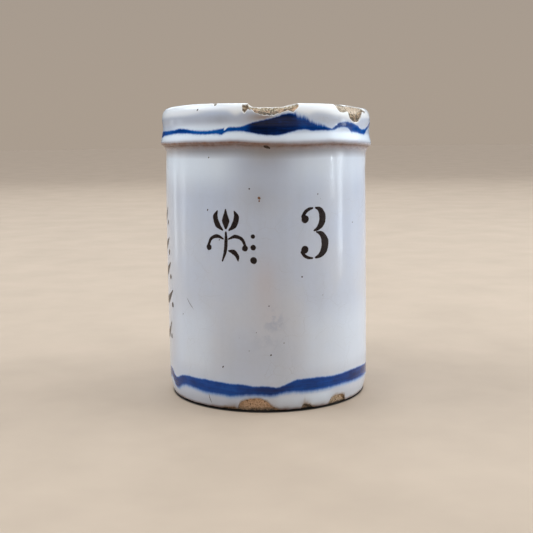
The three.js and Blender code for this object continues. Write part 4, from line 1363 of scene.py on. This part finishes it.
def shape_field(strokes, X, Y):
    """Positive inside the shapes, mm."""
    f = np.full(X.shape, -9.0)
    for c, w in strokes:
        for i in range(len(c) - 1):
            a, b = c[i], c[i + 1]
            ab = b - a
            L = max(float(ab @ ab), 1e-9)
            t = np.clip(((X - a[0]) * ab[0] + (Y - a[1]) * ab[1]) / L, 0, 1)
            d = np.hypot(X - (a[0] + t * ab[0]), Y - (a[1] + t * ab[1]))
            f = np.maximum(f, w[i] + (w[i + 1] - w[i]) * t - d)
    return f


def decal(name, groups, mat, h=0.22, rag=0.07, lift=0.025, seed=600):
    """Thin flat inlays that follow the wall. Each group is (strokes); coordinates are mm round the wall and mm up."""
    verts, faces, deep = [], [], []
    for g, strokes in enumerate(groups):
        lo = np.min([np.min(c - w[:, None], 0) for c, w in strokes], 0) - 0.6
        hi = np.max([np.max(c + w[:, None], 0) for c, w in strokes], 0) + 0.6
        gx, gy = np.arange(lo[0], hi[0] + h, h), np.arange(lo[1], hi[1] + h, h)
        X, Y = np.meshgrid(gx, gy)
        f = shape_field(strokes, X, Y) + rag * (0.7 * noise(X / 1.1, Y / 1.1, 0, seed + g) + 0.5 * noise(X / 0.45, Y / 0.45, 0, seed + 50 + g))
        pts, fcs = flat_cut(gx, gy, f)
        if not fcs:
            continue
        th = pts[:, 0] / BODY_R
        s = s_of_z(pts[:, 1])
        top = on_facets(th, s, lift)
        bot = on_facets(th, s, -0.12)
        deep.append(np.r_[pts[:, 2], pts[:, 2]])
        n0, n = len(verts) and sum(len(v) for v in verts), len(pts)
        verts += [top, bot]
        faces += [tuple(n0 + i for i in fc) for fc in fcs]
        faces += [tuple(n0 + n + i for i in reversed(fc)) for fc in fcs]
        faces += [(n0 + b, n0 + a, n0 + n + a, n0 + n + b) for a, b in open_edges(fcs)]
    ob = new_object(name, np.vstack(verts), faces, [mat], sharp=50)
    attribute(ob, "inside", np.concatenate(deep))
    return ob


def on_facets(th, s, off):
    """Points on the coat's own flat faces, so that an inlay follows them exactly."""
    ang = np.r_[TH, TH[0] + 2 * PI]
    a = TH[0] + (th - TH[0]) % (2 * PI)
    i = np.clip(np.searchsorted(ang, a, "right") - 1, 0, len(TH) - 1)
    j = np.clip(np.searchsorted(ROWS, s, "right") - 1, 0, len(ROWS) - 2)
    u = ((a - ang[i]) / (ang[i + 1] - ang[i]))[:, None]
    v = ((s - ROWS[j]) / (ROWS[j + 1] - ROWS[j]))[:, None]
    q = [pot_surface(ang[i + di], ROWS[j + dj], off) for dj in (0, 1) for di in (0, 1)]
    return (q[0] * (1 - u) + q[1] * u) * (1 - v) + (q[2] * (1 - u) + q[3] * u) * v


def flat_cut(gx, gy, f):
    """Faces of the part of a flat grid where f > 0; each point also carries f."""
    fl = f.ravel()
    pts = [(x, y, fl[k * len(gx) + i]) for k, y in enumerate(gy) for i, x in enumerate(gx)]
    pos = fl > 0
    idx = np.arange(f.size).reshape(f.shape)
    quads = np.stack([idx[:-1, :-1], idx[:-1, 1:], idx[1:, 1:], idx[1:, :-1]], -1).reshape(-1, 4)
    cnt = pos[quads].sum(1)
    faces = [tuple(q) for q in quads[cnt == 4]]
    made = {}

    def between(i, j):
        key = (min(i, j), max(i, j))
        if key not in made:
            t = min(max(fl[i] / (fl[i] - fl[j]), 0.03), 0.97)
            made[key] = len(pts)
            pts.append((pts[i][0] + (pts[j][0] - pts[i][0]) * t, pts[i][1] + (pts[j][1] - pts[i][1]) * t, 0.0))
        return made[key]

    for q in quads[(cnt > 0) & (cnt < 4)]:
        if inside_split(q, pos):
            for k in range(4):
                i = int(q[k])
                if pos[i]:
                    faces.append((i, between(i, int(q[(k + 1) % 4])), between(int(q[k - 1]), i)))
            continue
        poly = []
        for k in range(4):
            i, j = int(q[k]), int(q[(k + 1) % 4])
            if pos[i]:
                poly.append(i)
            if pos[i] != pos[j]:
                poly.append(between(i, j))
        if len(poly) >= 3:
            faces.append(tuple(poly))
    used = sorted({i for fc in faces for i in fc})
    back = {i: k for k, i in enumerate(used)}
    return np.array([pts[i] for i in used]), [tuple(back[i] for i in fc) for fc in faces]


def moved(strokes, dx, dy, k=1.0, mirror=False):
    m = -1.0 if mirror else 1.0
    return [(np.column_stack([c[:, 0] * k * m + dx, c[:, 1] * k + dy]), w * k) for c, w in strokes]


# a plain stencilled figure, 23 mm tall, in bridged pieces (origin at its middle)
FIGURE = [
    [stroke([(-4.6, 6.1), (-4.55, 6.2)], [1.75, 1.75]), stroke([(-5.6, 7.4), (-4.6, 9.2), (-2.6, 10.6), (-0.9, 11.0)], [0.9, 0.85, 0.75, 0.45])],
    [stroke([(0.7, 11.1), (2.9, 10.2), (4.2, 7.6), (3.9, 4.4), (2.0, 1.9), (-0.1, 0.9)], [0.4, 1.15, 1.75, 1.7, 1.0, 0.4])],
    [stroke([(1.0, 0.25), (3.7, -0.9), (5.5, -4.2), (5.0, -8.0), (2.7, -10.6), (0.4, -11.4)], [0.35, 1.2, 1.95, 1.85, 1.05, 0.45])],
    [stroke([(-4.9, -7.6), (-4.85, -7.5)], [1.75, 1.75]), stroke([(-6.1, -8.7), (-5.0, -10.3), (-3.1, -11.3), (-1.2, -11.6)], [0.85, 0.8, 0.7, 0.45])],
]
# a stencilled spray: bud, two petals, two curling leaves with round ends and a stem
SPRAY = [
    [stroke([(0.0, 3.3), (0.0, 6.6), (0.0, 11.6)], [0.6, 1.85, 0.3])],
    [stroke([(-1.6, 2.4), (-4.1, 4.7), (-5.2, 8.4), (-4.2, 10.9)], [0.4, 1.35, 1.25, 0.3])],
    [stroke([(1.6, 2.4), (4.1, 4.7), (5.2, 8.4), (4.2, 10.9)], [0.4, 1.35, 1.25, 0.3])],
    [stroke([(-1.3, -1.6), (-4.4, -0.4), (-7.6, -1.6), (-9.2, -4.6)], [0.35, 0.85, 0.75, 0.6]), stroke([(-9.0, -5.6), (-8.9, -5.7)], [1.35, 1.35])],
    [stroke([(1.3, -1.6), (4.4, -0.4), (7.6, -1.6), (9.2, -4.6)], [0.35, 0.85, 0.75, 0.6]), stroke([(9.0, -5.6), (8.9, -5.7)], [1.35, 1.35])],
    [stroke([(0.0, 1.4), (0.05, -2.6), (-0.5, -7.4), (-1.9, -11.6)], [0.5, 0.85, 0.8, 0.35])],
    [stroke([(1.2, -6.9), (3.6, -7.4), (5.4, -9.4), (5.7, -11.4)], [0.3, 1.15, 0.9, 0.3])],
]
DOTS = [
    [stroke([(0.0, 5.2), (0.05, 5.1)], [0.95, 0.95])],
    [stroke([(0.1, 0.3), (0.15, 0.2)], [1.2, 1.2])],
    [stroke([(0.2, -5.4), (0.25, -5.5)], [1.5, 1.5])],
]
front = [moved(g, 22.0, 80.3, 0.98) for g in FIGURE]
front += [moved(g, -18.4, 79.6, 0.98) for g in SPRAY]
front += [moved(g, -6.0, 74.2, 1.0) for g in DOTS]
marks = decal("front_stencil_marks", front, M_STENCIL)


def sprig():
    """A climbing sprig for the left side: a bridged stem with pairs of leaves and berries."""
    out = []
    cx = -84.0
    for a, b in ((18, 34), (36.5, 52), (54, 66.5), (68.5, 82), (84, 95)):
        out.append([stroke([(cx + 0.7 * math.sin(a / 9), a), (cx + 0.7 * math.sin((a + b) / 18), (a + b) / 2), (cx + 0.7 * math.sin(b / 9), b)], [0.45, 0.7, 0.4])])
    for z, tip, reach in ((26.0, 35.5, 24.4), (43.0, 51.0, 27.4), (56.5, 64.0, 25.2), (68.5, 75.5, 23.2), (82.0, 89.5, 21.6)):
        for m in (1, -1):
            k = 1.0 if m > 0 else 0.86
            x0, x1 = cx + m * 1.9, cx + m * reach * k
            out.append([stroke([(x0, z - 0.5), (x0 + m * 0.34 * reach * k, z + 0.9), (x0 + m * 0.68 * reach * k, z + 3.4), (x1, tip)], [0.35, 1.7, 1.75, 0.35])])
            out.append([stroke([(x1 - m * 0.6, tip - 6.9), (x1 - m * 0.5, tip - 6.8)], [1.25, 1.25])])
    out.append([stroke([(cx, 97.0), (cx - 0.3, 100.4), (cx, 104.2)], [0.5, 1.9, 0.3])])
    for m in (1, -1):
        out.append([stroke([(cx + m * 1.7, 96.2), (cx + m * 4.2, 98.0), (cx + m * 5.0, 101.6)], [0.4, 1.3, 0.3])])
    return out


side = decal("side_stencil_sprig", sprig(), M_STENCIL, h=0.3, seed=700)

# ------------------------------------------------------------------ iron specks, a scratch and a hairline in the glaze


def at(deg, z):
    return math.radians(deg) * BODY_R, z


def dot(deg, z, r, seed=0):
    u, z = at(deg, z)
    k = 0.5 * r * math.sin(seed * 2.3 + 1)
    return [stroke([(u - k * 0.5, z - k), (u + k * 0.5, z + k)], [0.85 * r, 0.7 * r])]


SPECKS = [(-38.1, 134.2, 0.42), (-8.75, 100.1, 0.42), (-32.25, 113.45, 0.32), (-32.97, 90.6, 0.38), (-25.9, 77.5, 0.30), (18.8, 60.9, 0.46), (28.5, 97.15, 0.24), (-25.0, 20.15, 0.40), (1.6, 26.4, 0.42), (0.9, 48.5, 0.34), (-54.2, 41.6, 0.32), (8.6, 31.7, 0.24), (-10.0, 28.2, 0.22), (31.0, 52.0, 0.22), (-6.0, 36.6, 0.2), (55.0, 83.0, 0.26), (96.0, 70.0, 0.36), (130.0, 48.0, 0.34), (-140.0, 88.0, 0.4), (150.0, 100.0, 0.3), (-160.0, 36.0, 0.34), (112.0, 104.0, 0.26)]
groups = [dot(d, z, r, i) for i, (d, z, r) in enumerate(SPECKS)]
groups.append([stroke([(at(-1.0, 0)[0], 118.85), (at(0.3, 0)[0], 118.6), (at(1.6, 0)[0], 118.3)], [0.34, 0.52, 0.40])])
ua, za = at(-50.7, 50.4)
ub, zb = at(-44.2, 44.8)
groups.append([stroke([(ua, za), ((ua + ub) / 2 - 0.15, (za + zb) / 2 - 0.2), (ub, zb)], [0.05, 0.16, 0.06])])
ua, za = at(-34.5, 6.9)
ub, zb = at(-33.6, 2.6)
groups.append([stroke([(ua, za), (ua + 0.15, 5.0), (ub, zb)], [0.10, 0.16, 0.10])])
specks = decal("iron_specks", groups, M_SPECK, h=0.12, rag=0.06, lift=0.012, seed=800)
groups = [[stroke([at(-3.7, 96.1), at(-3.5, 95.9)], [0.62, 0.5])], [stroke([at(-3.45, 94.9), at(-3.5, 94.75)], [0.32, 0.3])]]
rust = decal("rust_specks", groups, M_RUST, h=0.11, rag=0.12, lift=0.012, seed=850)

# ------------------------------------------------------------------ what each piece stands for

for ob, nodes, sl in (
    (outer, ("outer_glaze",), "tin_glaze"),
    (inside, ("inner_glaze",), "tin_glaze"),
    (handle, ("handle_glaze",), "tin_glaze"),
    (collar, ("rim_collar",), "clay"),
    (wall, ("body_wall",), "clay"),
    (base, ("base_disc",), "clay"),
    (strap_clay, ("handle_strap",), "clay"),
    (upper_wad, ("handle_upper_luting",), "luting_clay"),
    (lower_wad, ("handle_lower_luting",), "luting_clay"),
    (marks, (), "tin_glaze"),
    (side, (), "tin_glaze"),
    (specks, (), "tin_glaze"),
    (rust, (), "tin_glaze"),
):
    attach(ob, "root")
    if nodes:
        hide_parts(*nodes)

# ------------------------------------------------------------------ stage


def floor_object():
    n = 96
    rings = (0.0005, 0.15, 0.4, 0.9, 1.8, 3.0, 4.6)
    verts, faces = [], []
    for r in rings:
        for k in range(n):
            a = 2 * PI * k / n
            verts.append((r * math.cos(a), r * math.sin(a), -0.0001))
    for j in range(len(rings) - 1):
        for k in range(n):
            k2 = (k + 1) % n
            faces.append((j * n + k, j * n + k2, (j + 1) * n + k2, (j + 1) * n + k))
    faces.append(tuple(range(n)))
    me = bpy.data.meshes.new("floor")
    me.from_pydata(verts, [], faces)
    ob = bpy.data.objects.new("floor", me)
    bpy.context.scene.collection.objects.link(ob)
    t = Tree("floor_paper")
    paper = t.mix(t.linear(0.3, 0.7, t.noise(0.02, 3.0)), (0.419, 0.326, 0.245), (0.464, 0.362, 0.274))
    # a near-black ring round the foot, reaching further out at the front: painted contact shadow on the floor
    flat = t.vmath("MULTIPLY", t.mm, (1.004, 0.978, 0.0))
    out = t.add("ShaderNodeVectorMath", operation="LENGTH")
    t.link(flat, out.inputs[0])
    t.link(t.mix(t.step(46.1, 47.3, out.outputs["Value"]), (0.016, 0.012, 0.009), paper), t.bsdf.inputs["Base Color"])
    t.bsdf.inputs["Roughness"].default_value = 0.75
    me.materials.append(t.mat)
    return ob


floor_object()


def backdrop_object():
    """A plain pale surround far behind, seen by the camera and lighting nothing."""
    n, r = 72, 4.5
    heights = (-0.3, 0.0, 0.5, 1.2, 2.4, 4.5)
    verts = [(r * math.cos(2 * PI * k / n), r * math.sin(2 * PI * k / n), z) for z in heights for k in range(n)]
    faces = [(j * n + k, j * n + (k + 1) % n, (j + 1) * n + (k + 1) % n, (j + 1) * n + k) for j in range(len(heights) - 1) for k in range(n)]
    me = bpy.data.meshes.new("backdrop")
    me.from_pydata(verts, [], faces)
    ob = bpy.data.objects.new("backdrop", me)
    bpy.context.scene.collection.objects.link(ob)
    t = Tree("backdrop_paper")
    sep = t.add("ShaderNodeSeparateXYZ")
    t.link(t.mm, sep.inputs[0])
    glow = t.add("ShaderNodeEmission")
    t.link(t.mix(t.step(0.0, 2000.0, sep.outputs[2]), (0.40, 0.335, 0.275), (0.36, 0.315, 0.275)), glow.inputs[0])
    t.link(glow.outputs[0], t.out.inputs[0])
    me.materials.append(t.mat)
    ob.visible_diffuse = ob.visible_glossy = ob.visible_transmission = ob.visible_shadow = False
    return ob


backdrop_object()


def area(name, loc, look, size, power, colour=(1, 1, 1)):
    li = bpy.data.lights.new(name, "AREA")
    li.shape = "RECTANGLE"
    li.size, li.size_y = size
    li.energy = power
    li.color = colour
    ob = bpy.data.objects.new(name, li)
    bpy.context.scene.collection.objects.link(ob)
    ob.location = loc
    ob.rotation_mode = "QUATERNION"
    ob.rotation_quaternion = (Vector(look) - Vector(loc)).to_track_quat("-Z", "Y")
    ob.visible_camera = False
    return ob


COOL = (0.84, 0.93, 1.0)
area("soft_right", (1.02, 0.16, 0.64), (0, 0, 0.08), (1.05, 0.85), 10.9, COOL)
area("soft_left", (-0.95, 0.03, 0.98), (0, 0, 0.09), (1.05, 0.60), 9.6, COOL)
area("low_right", (0.95, -0.04, 0.24), (0, 0, 0.05), (0.6, 0.3), 0.75, COOL)
area("soft_front", (0.0, -1.3, 0.95), (0, 0, 0.12), (1.8, 0.40), 0.12, COOL)
area("soft_back", (0.0, 1.4, 0.8), (0, 0, 0.07), (1.4, 0.7), 4.5, COOL)
sky = bpy.data.lights.new("soft_sky", "SUN")
sky.energy, sky.angle, sky.color = 2.83, math.radians(124), (0.93, 0.965, 1.0)
sky_ob = bpy.data.objects.new("soft_sky", sky)
bpy.context.scene.collection.objects.link(sky_ob)
sky_ob.location = (0, 0, 2)


def strip(name, azimuth, dist, z0, z1, width, radiance):
    """A narrow upright light that shows as a streak in the glaze."""
    a = math.radians(azimuth)
    loc = (dist * math.sin(a), -dist * math.cos(a), (z0 + z1) / 2)
    ob = area(name, loc, (0, 0, (z0 + z1) / 2), (width, z1 - z0), radiance * PI * width * (z1 - z0), COOL)
    ob.visible_diffuse = False
    return ob


strip("strip_right_a", 88, 0.50, 0.004, 0.104, 0.060, 7.5)
strip("strip_right_b", 113, 0.50, 0.004, 0.100, 0.030, 1.0)
strip("strip_right_c", 76.5, 0.50, 0.0865, 0.098, 0.036, 48.0)
strip("strip_left_a", -121, 0.50, 0.004, 0.104, 0.045, 2.2)
strip("strip_left_b", -103, 0.50, 0.004, 0.104, 0.070, 1.8)

world = bpy.data.worlds.new("room")
world.use_nodes = True
bg = world.node_tree.nodes["Background"]
bg.inputs[0].default_value = (0.045, 0.045, 0.047, 1)
bg.inputs[1].default_value = 1.0
bpy.context.scene.world = world

scene = bpy.context.scene
scene.view_settings.view_transform = "Standard"
scene.view_settings.look = "None"

# ------------------------------------------------------------------ camera at the photograph's place

F_PX, FRAME_PX = 1007.0, 533.0
pitch, roll, yaw = math.atan((266.5 - 120.0) / F_PX), math.radians(0.75), math.radians(0.02)
eye = Vector((0.0, -10.09 * BODY_R, 2.70 * BODY_R)) * MM
right = Vector((math.cos(yaw), math.sin(yaw), 0))
ahead = Vector((-math.sin(yaw), math.cos(yaw), 0))
fwd = ahead * math.cos(pitch) - Vector((0, 0, math.sin(pitch)))
up = ahead * math.sin(pitch) + Vector((0, 0, math.cos(pitch)))
r2 = right * math.cos(roll) - up * math.sin(roll)
u2 = right * math.sin(roll) + up * math.cos(roll)
cam = bpy.data.cameras.new("camera")
cam.sensor_width = 36.0
cam.sensor_fit = "HORIZONTAL"
cam.lens = 36.0 * F_PX / FRAME_PX
cam.clip_start, cam.clip_end = 0.01, 50.0
camera = bpy.data.objects.new("camera", cam)
scene.collection.objects.link(camera)
m = Matrix((r2, u2, -fwd)).transposed().to_4x4()
m.translation = eye
camera.matrix_world = m
scene.camera = camera
